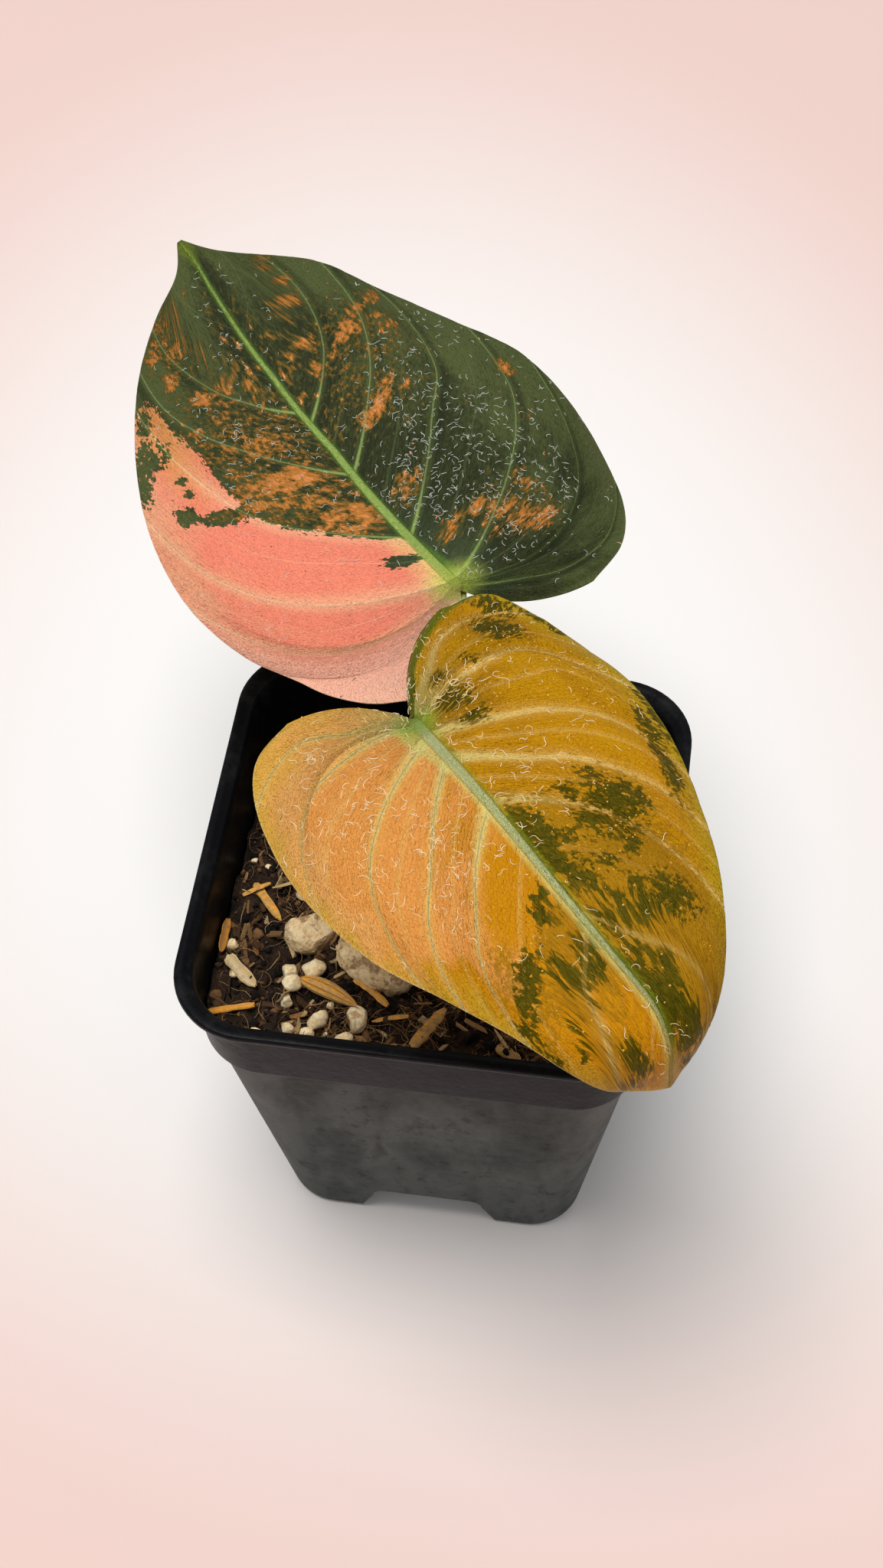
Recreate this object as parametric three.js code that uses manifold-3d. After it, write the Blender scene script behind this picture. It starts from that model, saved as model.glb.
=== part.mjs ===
// A young Philodendron melanochrysum in a square nursery pot: two heart-shaped leaves on
// petioles that rise from one short stem, set in a loose mix of peat, rice husk and perlite.
//
// Millimetres, +Z up. Everything is built round the pot's centre line with the table at
// z = 0. At the end the group is moved so that its origin lies under the middle of the
// whole plant and pot.

import * as THREE from "three";
import { mergeVertices } from "three/addons/utils/BufferGeometryUtils.js";
import Module from "manifold-3d";

const wasm = await Module();
wasm.setup();

// Driving dimensions of the pot. A half width is measured from the centre line to a side.
const POT_HEIGHT = 95;
const RIM_HALF = 45;
const RIM_CORNER = 14.5;
const BASE_HALF = 31.5;
const BASE_CORNER = 10.8;
const WALL = 1.1;
const FLOOR = 1.2;
const COLLAR_HEIGHT = 20;
const COLLAR_TOP_HALF = 42.6;
const COLLAR_FOOT_HALF = 41.5;
const COLLAR_TOP_CORNER = 13.4;
const COLLAR_FOOT_CORNER = 12.6;
const BODY_TOP_HALF = 40.2;
const BODY_TOP_CORNER = 11.9;
const LIP_THICKNESS = 1.8;
const CHANNEL_HALF = 12.6;
const CHANNEL_HEIGHT = 12;
const DRAIN_RADIUS = 3;
const DRAIN_OFFSET = 17;

// Clearance between touching pieces.
const GAP = 0.3;

// Driving dimensions of the potting mix and what lies on it.
const SOIL_LEVEL = 81.5;
const SOIL_CELLS = 22;
const PERLITE_COUNT = 22;
const HUSK_COUNT = 22;
const FIBRE_COUNT = 20;

// Driving dimensions of the plant. A petiole ends at PETIOLE_SEAT below the middle of the
// blade, just under the rib that runs along it.
const BLADE = 0.7;
const RIB_DEPTH = 0.8;
const PETIOLE_SEAT = 1.2;
const STEM_RADIUS = 3.4;
const NODE_SWELL = 0.55;
const STEM_TOP = 97;
const STEM_FOOT = 68;
const PETIOLE_RADIUS = 1.75;

// Where each vein family starts on the midrib, as a share of its length, where it ends on
// the margin, as a share of the way from the lobe to the tip, and how far it bows.
const UPPER_VEINS = [
  { from: 0, to: 0, bow: 0.27, lean: 0 },
  { from: 0, to: 0.2, bow: 0.53, lean: 0.02 },
  { from: 0, to: 0.42, bow: 0.56, lean: -0.2 },
  { from: 0.015, to: 0.55, bow: 0.41, lean: -0.08 },
  { from: 0.145, to: 0.69, bow: 0.28, lean: 0.08 },
  { from: 0.33, to: 0.79, bow: 0.25, lean: 0.06 },
  { from: 0.49, to: 0.875, bow: 0.25, lean: 0.05 },
  { from: 1, to: 1, bow: 0, lean: 0 },
];
const LOWER_VEINS = [
  { from: 0, to: 0, bow: 0.25, lean: 0 },
  { from: 0, to: 0.15, bow: 0.44, lean: 0 },
  { from: 0, to: 0.4, bow: 0.6, lean: -0.2 },
  { from: 0.04, to: 0.58, bow: 0.42, lean: -0.05 },
  { from: 0.11, to: 0.68, bow: 0.26, lean: 0 },
  { from: 0.24, to: 0.8, bow: 0.28, lean: 0.05 },
  { from: 0.45, to: 0.9, bow: 0.25, lean: 0.05 },
  { from: 1, to: 1, bow: 0, lean: 0 },
];

// The two leaves. x runs across the blade and y along its midrib, from the petiole to the
// tip. Each margin goes from the bottom of the basal lobe round to the tip, with x taken
// as a distance from the midrib. Angles are in degrees: azimuth turns from +Y towards +X.
const UPPER_LEAF = {
  veins: UPPER_VEINS,
  base: [-0.4, 28.6, 138],
  azimuth: -41.2,
  pitch: 1,
  roll: 6.2,
  length: 103,
  spine: [[103, 3.7]],
  fold: null,
  ribHalf: 1.1,
  quilt: 0.8,
  wave: 0.7,
  sway: { start: 40, end: 86, amount: -1.5, tip: 1.4 },
  right: {
    rise: 7, droop: -0.5, sinusDrop: 0.6,
    margin: [
      [20, -14.5], [28.7, -10.8], [35.1, -3], [39.6, 9.7], [41.9, 25], [40.7, 41], [35.5, 53.7],
      [28, 67.2], [20.8, 80.8], [12.2, 90], [4, 97.6], [0.5, 103.2],
    ],
  },
  left: {
    rise: 7, droop: -0.45, sinusDrop: 0.6,
    margin: [
      [20.9, -15.8], [25.9, -12.9], [31, -6.4], [34.2, 1], [39, 11.5], [41.5, 24], [40.8, 38],
      [37.6, 51], [31, 65], [22.5, 77], [12.9, 88], [4.8, 95.6], [0.5, 103],
    ],
  },
};
const LOWER_LEAF = {
  veins: LOWER_VEINS,
  base: [-1.7, -10.6, 148],
  azimuth: 135.4,
  pitch: 1.5,
  roll: -5.2,
  length: 81,
  spine: [[81, -25]],
  fold: { start: 62.5, end: 74, turn: -66, spread: 0.019 },
  ribHalf: 1.15,
  quilt: 1,
  wave: 0.5,
  sway: { start: 20, end: 62, amount: 0.4, tip: 2.5 },
  right: {
    rise: 7, droop: -0.74, sinusDrop: 0.3,
    margin: [
      [16.6, -14.2], [24.6, -12], [29.2, -6.8], [32.3, 2], [33.5, 14.5], [31.3, 30], [26.2, 42],
      [21.5, 53], [17.6, 62.5], [12, 71], [5, 77], [0.5, 81],
    ],
  },
  left: {
    rise: 7, droop: -0.97, sinusDrop: 2,
    margin: [
      [19, -18.4], [26.8, -16], [32, -8.2], [35, 2.2], [36.1, 15], [33.6, 30], [28.2, 42.5],
      [21.8, 53.5], [14.6, 63.5], [8.5, 71.5], [4, 77], [0.5, 81],
    ],
  },
};
const VEIN_ROWS = 4;
const BLADE_COLUMNS = 9;

const degrees = THREE.MathUtils.degToRad;
const smoothstep = THREE.MathUtils.smoothstep;

// A repeatable stream of numbers between 0 and 1.
function seeded(seed) {
  let state = seed;
  return () => {
    state = (state + 0x6d2b79f5) | 0;
    let t = Math.imul(state ^ (state >>> 15), 1 | state);
    t = (t + Math.imul(t ^ (t >>> 7), 61 | t)) ^ t;
    return ((t ^ (t >>> 14)) >>> 0) / 4294967296;
  };
}

// Solids

function toSolid(geometry) {
  const bare = geometry.clone();
  bare.deleteAttribute("normal");
  bare.deleteAttribute("uv");
  const merged = mergeVertices(bare, 1e-5);
  return new wasm.Manifold(new wasm.Mesh({
    numProp: 3,
    vertProperties: new Float32Array(merged.attributes.position.array),
    triVerts: new Uint32Array(merged.index.array),
  }));
}

function toGeometry(solid) {
  const mesh = solid.getMesh();
  const geometry = new THREE.BufferGeometry();
  geometry.setAttribute("position", new THREE.BufferAttribute(mesh.vertProperties, 3));
  geometry.setIndex(new THREE.BufferAttribute(mesh.triVerts, 1));
  return geometry;
}

function fromTriangles(points, triangles) {
  const geometry = new THREE.BufferGeometry();
  geometry.setAttribute("position", new THREE.Float32BufferAttribute(points.flat(), 3));
  geometry.setIndex(triangles.flat());
  return geometry;
}

// A closed skin over a stack of rings with equal numbers of points, each ring running
// anticlockwise when seen from the end of the stack.
function loft(rings) {
  const count = rings[0].length;
  const points = rings.flat();
  const triangles = [];
  for (let level = 0; level + 1 < rings.length; level += 1) {
    for (let i = 0; i < count; i += 1) {
      const a = level * count + i;
      const b = level * count + ((i + 1) % count);
      triangles.push([a, b, b + count], [a, b + count, a + count]);
    }
  }
  const top = (rings.length - 1) * count;
  points.push(middle(rings[0]), middle(rings[rings.length - 1]));
  for (let i = 0; i < count; i += 1) {
    const next = (i + 1) % count;
    triangles.push([points.length - 2, next, i], [points.length - 1, top + i, top + next]);
  }
  return fromTriangles(points, triangles);
}

function middle(ring) {
  return [0, 1, 2].map((axis) => ring.reduce((sum, point) => sum + point[axis], 0) / ring.length);
}

// A square with rounded corners, level at height z.
function squareRing(half, corner, z) {
  const ring = [];
  const steps = 6;
  for (let quadrant = 0; quadrant < 4; quadrant += 1) {
    for (let step = 0; step <= steps; step += 1) {
      const angle = (quadrant + step / steps) * Math.PI / 2;
      const turn = (quadrant + 0.5) * Math.PI / 2;
      const centre = half - corner;
      ring.push([
        Math.sign(Math.cos(turn)) * centre + corner * Math.cos(angle),
        Math.sign(Math.sin(turn)) * centre + corner * Math.sin(angle),
        z,
      ]);
    }
  }
  return ring;
}

// A round rod that follows a curve, with a radius for each share of its length. The flat
// value widens it across the curve's first normal, as a clasping petiole base is.
function rod(curve, steps, sides, radiusAt, flatAt = () => 1) {
  const frames = curve.computeFrenetFrames(steps);
  const rings = [];
  for (let step = 0; step <= steps; step += 1) {
    const share = step / steps;
    const centre = curve.getPointAt(share);
    const ring = [];
    for (let i = 0; i < sides; i += 1) {
      const angle = (i / sides) * Math.PI * 2;
      const offset = frames.normals[step].clone().multiplyScalar(Math.cos(angle) * flatAt(share));
      offset.addScaledVector(frames.binormals[step], Math.sin(angle));
      ring.push(centre.clone().addScaledVector(offset, radiusAt(share)).toArray());
    }
    rings.push(ring);
  }
  return loft(rings);
}

// Pot

// Half width, corner radius and height, from the table up to the lip.
const COLLAR_FOOT = POT_HEIGHT - COLLAR_HEIGHT;
const LIP_FOOT = POT_HEIGHT - LIP_THICKNESS;
const OUTER_PROFILE = [
  [BASE_HALF - 1, BASE_CORNER - 0.8, 0],
  [BASE_HALF, BASE_CORNER, FLOOR],
  [BODY_TOP_HALF, BODY_TOP_CORNER, COLLAR_FOOT - 0.5],
  [COLLAR_FOOT_HALF, COLLAR_FOOT_CORNER, COLLAR_FOOT + 0.5],
  [COLLAR_TOP_HALF, COLLAR_TOP_CORNER, LIP_FOOT],
  [RIM_HALF - 0.5, RIM_CORNER - 0.3, LIP_FOOT + 0.1],
  [RIM_HALF, RIM_CORNER, LIP_FOOT + 0.6],
  [RIM_HALF, RIM_CORNER, POT_HEIGHT - 0.5],
  [RIM_HALF - 0.6, RIM_CORNER - 0.4, POT_HEIGHT],
];

// The inside of the pot, drawn in from its walls and floor by an inset.
function cavityProfile(inset, top) {
  const shrink = WALL + inset;
  return [
    [BASE_HALF - shrink, BASE_CORNER - shrink, FLOOR + inset],
    [BODY_TOP_HALF - shrink, BODY_TOP_CORNER - shrink, COLLAR_FOOT - 0.2 + inset],
    [COLLAR_FOOT_HALF - shrink, COLLAR_FOOT_CORNER - shrink, COLLAR_FOOT + 0.8 + inset],
    [COLLAR_TOP_HALF - shrink, COLLAR_TOP_CORNER - shrink, LIP_FOOT + 0.2],
    [COLLAR_TOP_HALF + 0.5 - inset, COLLAR_TOP_CORNER + 0.4 - inset, top],
  ];
}

function squareLoft(profile) {
  return toSolid(loft(profile.map(([half, corner, z]) => squareRing(half, corner, z))));
}

// The raised cross under the pot that leaves four feet, grown by a margin on each side.
function underChannel(grow) {
  const half = CHANNEL_HALF + grow;
  const height = CHANNEL_HEIGHT + grow;
  const round = 2 + grow;
  const outline = new THREE.Shape();
  outline.moveTo(-half, -2);
  outline.lineTo(half, -2);
  outline.lineTo(half - 0.5, height - round);
  outline.absarc(half - 0.5 - round, height - round, round, 0, Math.PI / 2, false);
  outline.absarc(0.5 + round - half, height - round, round, Math.PI / 2, Math.PI, false);
  outline.closePath();
  const length = 2 * RIM_HALF;
  const bar = new THREE.ExtrudeGeometry(outline, { depth: length, bevelEnabled: false, curveSegments: 4 });
  bar.translate(0, 0, -length / 2);
  bar.rotateX(Math.PI / 2);
  const along = toSolid(bar);
  const across = toSolid(bar.clone().rotateZ(Math.PI / 2));
  return along.add(across);
}

function drainHoles() {
  const places = [[0, 0], [DRAIN_OFFSET, 0], [-DRAIN_OFFSET, 0], [0, DRAIN_OFFSET], [0, -DRAIN_OFFSET]];
  return places.map(([x, y]) => {
    const hole = new THREE.CylinderGeometry(DRAIN_RADIUS, DRAIN_RADIUS, 12, 16);
    hole.rotateX(Math.PI / 2);
    hole.translate(x, y, CHANNEL_HEIGHT);
    return toSolid(hole);
  });
}

function makePot() {
  const body = squareLoft(OUTER_PROFILE);
  const cavity = squareLoft(cavityProfile(0, POT_HEIGHT + 0.5)).subtract(underChannel(WALL));
  let pot = body.subtract(cavity).subtract(underChannel(0));
  drainHoles().forEach((hole) => {
    pot = pot.subtract(hole);
  });
  return toGeometry(pot);
}

// Potting mix

// The surface is level but for a low mound at the stem, a hollow at the back left and a
// crumbly swell.
function soilHeight(x, y) {
  const mound = 2.5 * Math.exp(-((x - 1) ** 2 + (y - 4) ** 2) / 160);
  const hollow = 5 * smoothstep(y - 0.5 * x, 4, 48);
  const swell = Math.sin(0.41 * x + 1.3) * Math.sin(0.37 * y + 0.4);
  const crumb = 0.6 * Math.sin(0.83 * x - 0.52 * y + 2) + 0.45 * Math.sin(1.31 * x + 1.13 * y);
  return SOIL_LEVEL + mound - hollow + 0.8 * swell + crumb;
}

function soilBlock() {
  const half = RIM_HALF;
  const points = [];
  const triangles = [];
  const side = SOIL_CELLS + 1;
  for (let layer = 0; layer < 2; layer += 1) {
    for (let row = 0; row < side; row += 1) {
      for (let column = 0; column < side; column += 1) {
        const x = -half + (2 * half * column) / SOIL_CELLS;
        const y = -half + (2 * half * row) / SOIL_CELLS;
        points.push([x, y, layer === 0 ? -5 : soilHeight(x, y)]);
      }
    }
  }
  const at = (layer, row, column) => layer * side * side + row * side + column;
  for (let row = 0; row < SOIL_CELLS; row += 1) {
    for (let column = 0; column < SOIL_CELLS; column += 1) {
      const corners = (layer) => [
        at(layer, row, column), at(layer, row, column + 1),
        at(layer, row + 1, column + 1), at(layer, row + 1, column),
      ];
      const top = corners(1);
      const low = corners(0);
      triangles.push([top[0], top[1], top[2]], [top[0], top[2], top[3]]);
      triangles.push([low[0], low[2], low[1]], [low[0], low[3], low[2]]);
    }
  }
  for (let i = 0; i < SOIL_CELLS; i += 1) {
    const edges = [
      [at(0, 0, i), at(0, 0, i + 1), at(1, 0, i + 1), at(1, 0, i)],
      [at(0, i, SOIL_CELLS), at(0, i + 1, SOIL_CELLS), at(1, i + 1, SOIL_CELLS), at(1, i, SOIL_CELLS)],
      [at(0, SOIL_CELLS, i + 1), at(0, SOIL_CELLS, i), at(1, SOIL_CELLS, i), at(1, SOIL_CELLS, i + 1)],
      [at(0, i + 1, 0), at(0, i, 0), at(1, i, 0), at(1, i + 1, 0)],
    ];
    edges.forEach(([a, b, c, d]) => triangles.push([a, b, c], [a, c, d]));
  }
  return toSolid(fromTriangles(points, triangles));
}

// The perlite grains and husks that show beside the leaf: x, y and, for a husk, its far
// end and width.
const SEEN_PERLITE = [
  [-21.3, -21.9, 2.1], [-26, -22.5, 1.7], [-24.8, -25.8, 1.8], [-25.4, -29.2, 1.7], [-18.8, -32.6, 2.1],
  [-11.7, -31.7, 2.2], [-24.3, -35, 1.7], [-20.4, -35.5, 1.4], [-13.5, -35.8, 1.7], [-38, -17.6, 1.3],
];
const SEEN_HUSKS = [
  [-23.6, -24.3, -11.8, -29.3, 3.4], [-37.8, -22, -31.6, -27.1, 2.8], [-13.3, -23.7, -6.3, -28.2, 2],
  [-0.6, -36.3, 4.4, -27.5, 2.4], [-39.6, -20.3, -39.6, -13, 2], [-36.3, -3.6, -29.4, -12.3, 1.8],
  [15, -34.2, 19.3, -36.1, 2.4],
];

// Stones of puffed rock: middle, half sizes and turn.
const STONES = [
  { name: "pumice_small", x: -23.4, y: -14.2, size: [4.6, 4.2, 3.9], turn: 20, seed: 3 },
  { name: "pumice_large", x: -9.8, y: -19, size: [8, 5.6, 4.4], turn: -24, seed: 8 },
];

function awayFromPlaced(x, y, reach) {
  const nearStone = STONES.some((stone) => Math.hypot(x - stone.x, y - stone.y) < stone.size[0] + reach + 1);
  const nearStem = Math.hypot(x - 1, y - 4) < STEM_RADIUS + reach + 2;
  return !nearStone && !nearStem;
}

// Random places on the mix, clear of the stones and the stem.
function scatter(random, count, reach) {
  const spots = [];
  while (spots.length < count) {
    const x = (random() * 2 - 1) * 38;
    const y = (random() * 2 - 1) * 38;
    if (awayFromPlaced(x, y, reach)) {
      spots.push([x, y]);
    }
  }
  return spots;
}

function makeGrain(random, x, y, radius) {
  const grain = new THREE.IcosahedronGeometry(radius, 0);
  grain.scale(0.8 + random() * 0.35, 0.8 + random() * 0.35, 0.7 + random() * 0.3);
  grain.rotateX(random() * 3);
  grain.rotateZ(random() * 6);
  grain.translate(x, y, soilHeight(x, y) + radius * 0.25);
  return toSolid(grain);
}

// A husk is a slim boat, and a fibre the same form drawn out thin.
function makeSliver(x0, y0, x1, y1, width, lift) {
  const from = new THREE.Vector3(x0, y0, soilHeight(x0, y0));
  const to = new THREE.Vector3(x1, y1, soilHeight(x1, y1));
  const sliver = new THREE.OctahedronGeometry(1);
  sliver.scale(from.distanceTo(to) / 2, width / 2, width * 0.42);
  const heading = to.clone().sub(from);
  sliver.rotateY(-Math.atan2(heading.z, Math.hypot(heading.x, heading.y)));
  sliver.rotateZ(Math.atan2(heading.y, heading.x));
  const centre = from.add(to).multiplyScalar(0.5);
  sliver.translate(centre.x, centre.y, Math.max(centre.z, soilHeight(centre.x, centre.y)) + lift);
  return toSolid(sliver);
}

function litter() {
  const random = seeded(41);
  const pieces = SEEN_PERLITE.map(([x, y, radius]) => makeGrain(random, x, y, radius));
  SEEN_HUSKS.forEach(([x0, y0, x1, y1, width]) => {
    pieces.push(makeSliver(x0, y0, x1, y1, width, 0.35));
  });
  scatter(random, PERLITE_COUNT, 2).forEach(([x, y]) => {
    pieces.push(makeGrain(random, x, y, 1 + random() * 0.9));
  });
  scatter(random, HUSK_COUNT, 5).forEach(([x, y]) => {
    const turn = random() * Math.PI * 2;
    const reach = 3 + random() * 2;
    const end = [x + Math.cos(turn) * reach, y + Math.sin(turn) * reach];
    pieces.push(makeSliver(x - Math.cos(turn) * reach, y - Math.sin(turn) * reach, ...end, 2.2, 0.2));
  });
  scatter(random, FIBRE_COUNT, 6).forEach(([x, y]) => {
    const turn = random() * Math.PI * 2;
    const reach = 4 + random() * 3;
    const end = [x + Math.cos(turn) * reach, y + Math.sin(turn) * reach];
    pieces.push(makeSliver(x - Math.cos(turn) * reach, y - Math.sin(turn) * reach, ...end, 1.1, 0.1));
  });
  return wasm.Manifold.union(pieces);
}

function largestPiece(solid) {
  return solid.decompose().reduce((best, piece) => (piece.volume() > best.volume() ? piece : best));
}

function stoneSolid(stone, grow) {
  const geometry = new THREE.IcosahedronGeometry(1, 2);
  const place = geometry.attributes.position;
  for (let i = 0; i < place.count; i += 1) {
    const point = new THREE.Vector3().fromBufferAttribute(place, i);
    const broad = Math.sin(3.1 * point.x + stone.seed) * Math.sin(2.7 * point.y + 1);
    const fine = 0.6 * Math.sin(4.3 * point.z);
    point.multiplyScalar(1 + 0.09 * (broad + fine));
    place.setXYZ(i, point.x, point.y, point.z);
  }
  geometry.scale(stone.size[0] + grow, stone.size[1] + grow, stone.size[2] + grow);
  geometry.rotateZ(degrees(stone.turn));
  geometry.translate(stone.x, stone.y, SOIL_LEVEL + stone.size[2] * 0.35);
  return toSolid(geometry);
}

function makeSoil(stemHole) {
  const filling = squareLoft(cavityProfile(GAP, POT_HEIGHT)).subtract(underChannel(WALL + GAP));
  const clipped = soilBlock().add(litter());
  let soil = filling.intersect(clipped).subtract(stemHole);
  STONES.forEach((stone) => {
    soil = soil.subtract(stoneSolid(stone, GAP * 1.3));
  });
  return toGeometry(largestPiece(soil));
}

// Stem and petioles

const STEM_CURVE = new THREE.CatmullRomCurve3([
  new THREE.Vector3(1, 4, STEM_FOOT),
  new THREE.Vector3(1.1, 4, 80),
  new THREE.Vector3(0.6, 3.4, 90),
  new THREE.Vector3(-0.3, 2.2, STEM_TOP),
]);

// The stem swells at its two nodes and narrows upwards.
function stemRadius(share) {
  const node = (at) => NODE_SWELL * Math.exp(-(((share - at) / 0.035) ** 2));
  return STEM_RADIUS - 1.2 * share ** 2 + node(0.52) + node(0.76);
}

function makeStem() {
  return rod(STEM_CURVE, 22, 12, stemRadius);
}

function makeStemHole() {
  const [foot, middlePoint, top] = STEM_CURVE.points;
  const start = foot.clone().setZ(STEM_FOOT - GAP);
  const hole = new THREE.CatmullRomCurve3([start, middlePoint, top]);
  return toSolid(rod(hole, 6, 12, () => STEM_RADIUS + NODE_SWELL + GAP));
}

// Each petiole leaves the stem with a wide clasping base and ends in a slight swelling
// under its leaf.
const UPPER_PETIOLE = new THREE.CatmullRomCurve3([
  new THREE.Vector3(2, 4.9, 88),
  new THREE.Vector3(2.6, 10.5, 97),
  new THREE.Vector3(2.2, 18, 111),
  new THREE.Vector3(0.6, 25, 127),
  new THREE.Vector3(-0.4, 28, 137.6),
]);
const LOWER_PETIOLE = new THREE.CatmullRomCurve3([
  new THREE.Vector3(-0.2, 2.35, STEM_TOP - 1),
  new THREE.Vector3(-1.2, -0.8, 108),
  new THREE.Vector3(-2.2, -5.2, 124),
  new THREE.Vector3(-2.3, -9, 139),
  new THREE.Vector3(-1.8, -10.2, 147.6),
]);

function petioleRadius(share) {
  const base = 0.75 * (1 - smoothstep(share, 0, 0.25));
  const swelling = 0.3 * smoothstep(share, 0.84, 0.95);
  return PETIOLE_RADIUS - 0.25 * share + base + swelling;
}

// Keeps what lies on the side of a plane that its normal points to.
function keepBeyond(solid, point, normal) {
  return solid.trimByPlane(normal.toArray(), normal.dot(point));
}

// A petiole stops under the rib of its leaf, and clear of the stem.
function makePetiole(curve, leaf, clearOfStem) {
  const { out } = leafAxes(leaf);
  const under = new THREE.Vector3(...leaf.base).addScaledVector(out, -PETIOLE_SEAT);
  const petiole = toSolid(rod(curve, 18, 10, petioleRadius));
  return toGeometry(largestPiece(keepBeyond(clearOfStem(petiole), under, out.clone().negate())));
}

// The lower petiole carries on from the tip of the stem, and the upper one clasps its side.
function aboveStemTip(solid) {
  const tangent = STEM_CURVE.getTangentAt(1);
  return keepBeyond(solid, STEM_CURVE.getPointAt(1).addScaledVector(tangent, GAP), tangent);
}

function besideStem(solid) {
  return solid.subtract(toSolid(rod(STEM_CURVE, 22, 12, (share) => stemRadius(share) + GAP * 1.1)));
}

// Leaves

// Runs along a chain of arcs, each a length and a turn in degrees, and gives how far
// along and how high the point lies, and the slope there.
function alongArcs(arcs, distance) {
  let along = 0;
  let height = 0;
  let angle = 0;
  let left = distance;
  arcs.forEach(([length, turn], index) => {
    const last = index === arcs.length - 1;
    const run = last ? left : Math.min(left, length);
    const curvature = degrees(turn) / length;
    const end = angle + curvature * run;
    if (Math.abs(curvature) < 1e-9) {
      along += run * Math.cos(angle);
      height += run * Math.sin(angle);
    } else {
      along += (Math.sin(end) - Math.sin(angle)) / curvature;
      height -= (Math.cos(end) - Math.cos(angle)) / curvature;
    }
    angle = end;
    left -= run;
  });
  return { along, height, angle };
}

// The frame of a leaf: directions across, along and out of the blade.
function leafAxes(leaf) {
  const azimuth = degrees(leaf.azimuth);
  const pitch = degrees(leaf.pitch);
  const roll = degrees(leaf.roll);
  const along = new THREE.Vector3(
    Math.sin(azimuth) * Math.cos(pitch), Math.cos(azimuth) * Math.cos(pitch), Math.sin(pitch));
  const level = along.clone().cross(new THREE.Vector3(0, 0, 1)).normalize();
  const up = level.clone().cross(along);
  const across = level.multiplyScalar(Math.cos(roll)).addScaledVector(up, Math.sin(roll));
  return { across, along, out: across.clone().cross(along) };
}

// How far the midrib strays to the right of a straight line.
function midribSway(leaf, y) {
  const { start, end, amount, tip } = leaf.sway;
  const wander = Math.sin(Math.PI * THREE.MathUtils.clamp((y - start) / (end - start), 0, 1));
  return amount * wander + tip * smoothstep(y, end - 2, leaf.length - 4);
}

// Places a point of the flat blade, lifted by a height, on the bent and folded leaf.
function placeOnLeaf(leaf, flatX, y, lift) {
  const x = flatX + midribSway(leaf, y) * Math.max(0, 1 - Math.abs(flatX) / 30);
  const side = x < 0 ? leaf.left : leaf.right;
  const reach = Math.abs(x);
  const rise = degrees(side.rise);
  const bend = degrees(side.droop);
  const tilt = rise + bend * reach;
  const across = Math.sign(x) * ((Math.sin(tilt) - Math.sin(rise)) / bend - lift * Math.sin(tilt));
  const height = -(Math.cos(tilt) - Math.cos(rise)) / bend + lift * Math.cos(tilt);
  const spine = alongArcs(leaf.spine, Math.max(y, 0));
  let along = spine.along + Math.min(y, 0);
  let up = spine.height;
  let angle = spine.angle;
  if (leaf.fold) {
    const { start, end, turn, spread } = leaf.fold;
    const slope = leaf.spine[0][1] / leaf.spine[0][0];
    const chain = [[start, slope * start], [end - start, turn + slope * (end - start)], [20, slope * 20]];
    const reached = Math.max(y + spread * x * x, 0);
    const folded = alongArcs(chain, reached);
    const plain = alongArcs(leaf.spine, reached);
    along += folded.along - plain.along;
    up += folded.height - plain.height;
    angle += folded.angle - plain.angle;
  }
  const { across: acrossAxis, along: alongAxis, out } = leafAxes(leaf);
  return new THREE.Vector3(...leaf.base)
    .addScaledVector(acrossAxis, across)
    .addScaledVector(alongAxis, along - height * Math.sin(angle))
    .addScaledVector(out, up + height * Math.cos(angle));
}

function marginCurve(side) {
  const points = side.margin.map(([x, y]) => new THREE.Vector3(x, y, 0));
  return new THREE.CatmullRomCurve3(points, false, "centripetal");
}

// A value of the vein table at a share of the margin.
function veinValue(veins, share, key) {
  const next = Math.max(1, veins.findIndex((vein) => vein.to >= share));
  const [low, high] = [veins[next - 1], veins[next]];
  return THREE.MathUtils.mapLinear(share, low.to, high.to, low[key], high[key]);
}

function ribHalfWidth(leaf, y) {
  return leaf.ribHalf * (1 - 0.72 * THREE.MathUtils.clamp(y / leaf.length, 0, 1));
}

// The flat point on one half of the blade: row runs from the sinus to the tip, and share
// from the midrib to the margin.
function flatPoint(leaf, curve, row, share) {
  const veins = leaf.veins;
  const from = veinValue(veins, row, "from") * (leaf.length - 1.5);
  const fan = veins[2].to;
  const turn = row < fan ? (row / fan - 1) * Math.PI / 2 : 0;
  const half = ribHalfWidth(leaf, from);
  const start = new THREE.Vector2(half * Math.cos(turn), from + half * Math.sin(turn));
  const end = new THREE.Vector2(curve.getPointAt(row).x, curve.getPointAt(row).y);
  const chord = end.clone().sub(start);
  const out = new THREE.Vector2(chord.y, -chord.x);
  const control = start.clone()
    .addScaledVector(chord, 0.5 + veinValue(veins, row, "lean"))
    .addScaledVector(out, veinValue(veins, row, "bow"));
  return new THREE.QuadraticBezierCurve(start, control, end).getPoint(share);
}

// The blade swells between its veins, waves a little at the margin and turns down at the
// edge of the sinus.
function bladeLift(leaf, side, row, share) {
  const next = Math.max(1, leaf.veins.findIndex((vein) => vein.to >= row));
  const low = leaf.veins[next - 1].to;
  const high = leaf.veins[next].to;
  const between = (row - low) / (high - low);
  const fade = smoothstep(share, 0, 0.25) * (1 - smoothstep(share, 0.7, 1));
  const calm = 1 - smoothstep(row, 0.86, 0.97);
  const room = Math.min(1, (high - low) / 0.14);
  const swell = leaf.quilt * Math.sin(Math.PI * between) ** 0.8 * fade * calm * room;
  const wave = leaf.wave * share ** 3 * Math.sin(row * 17 + 1) * calm;
  const nearSinus = 1 - smoothstep(row, 0, low === 0 ? high * 0.6 : low);
  return swell + wave - side.sinusDrop * nearSinus * smoothstep(share, 0, 0.2);
}

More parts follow.
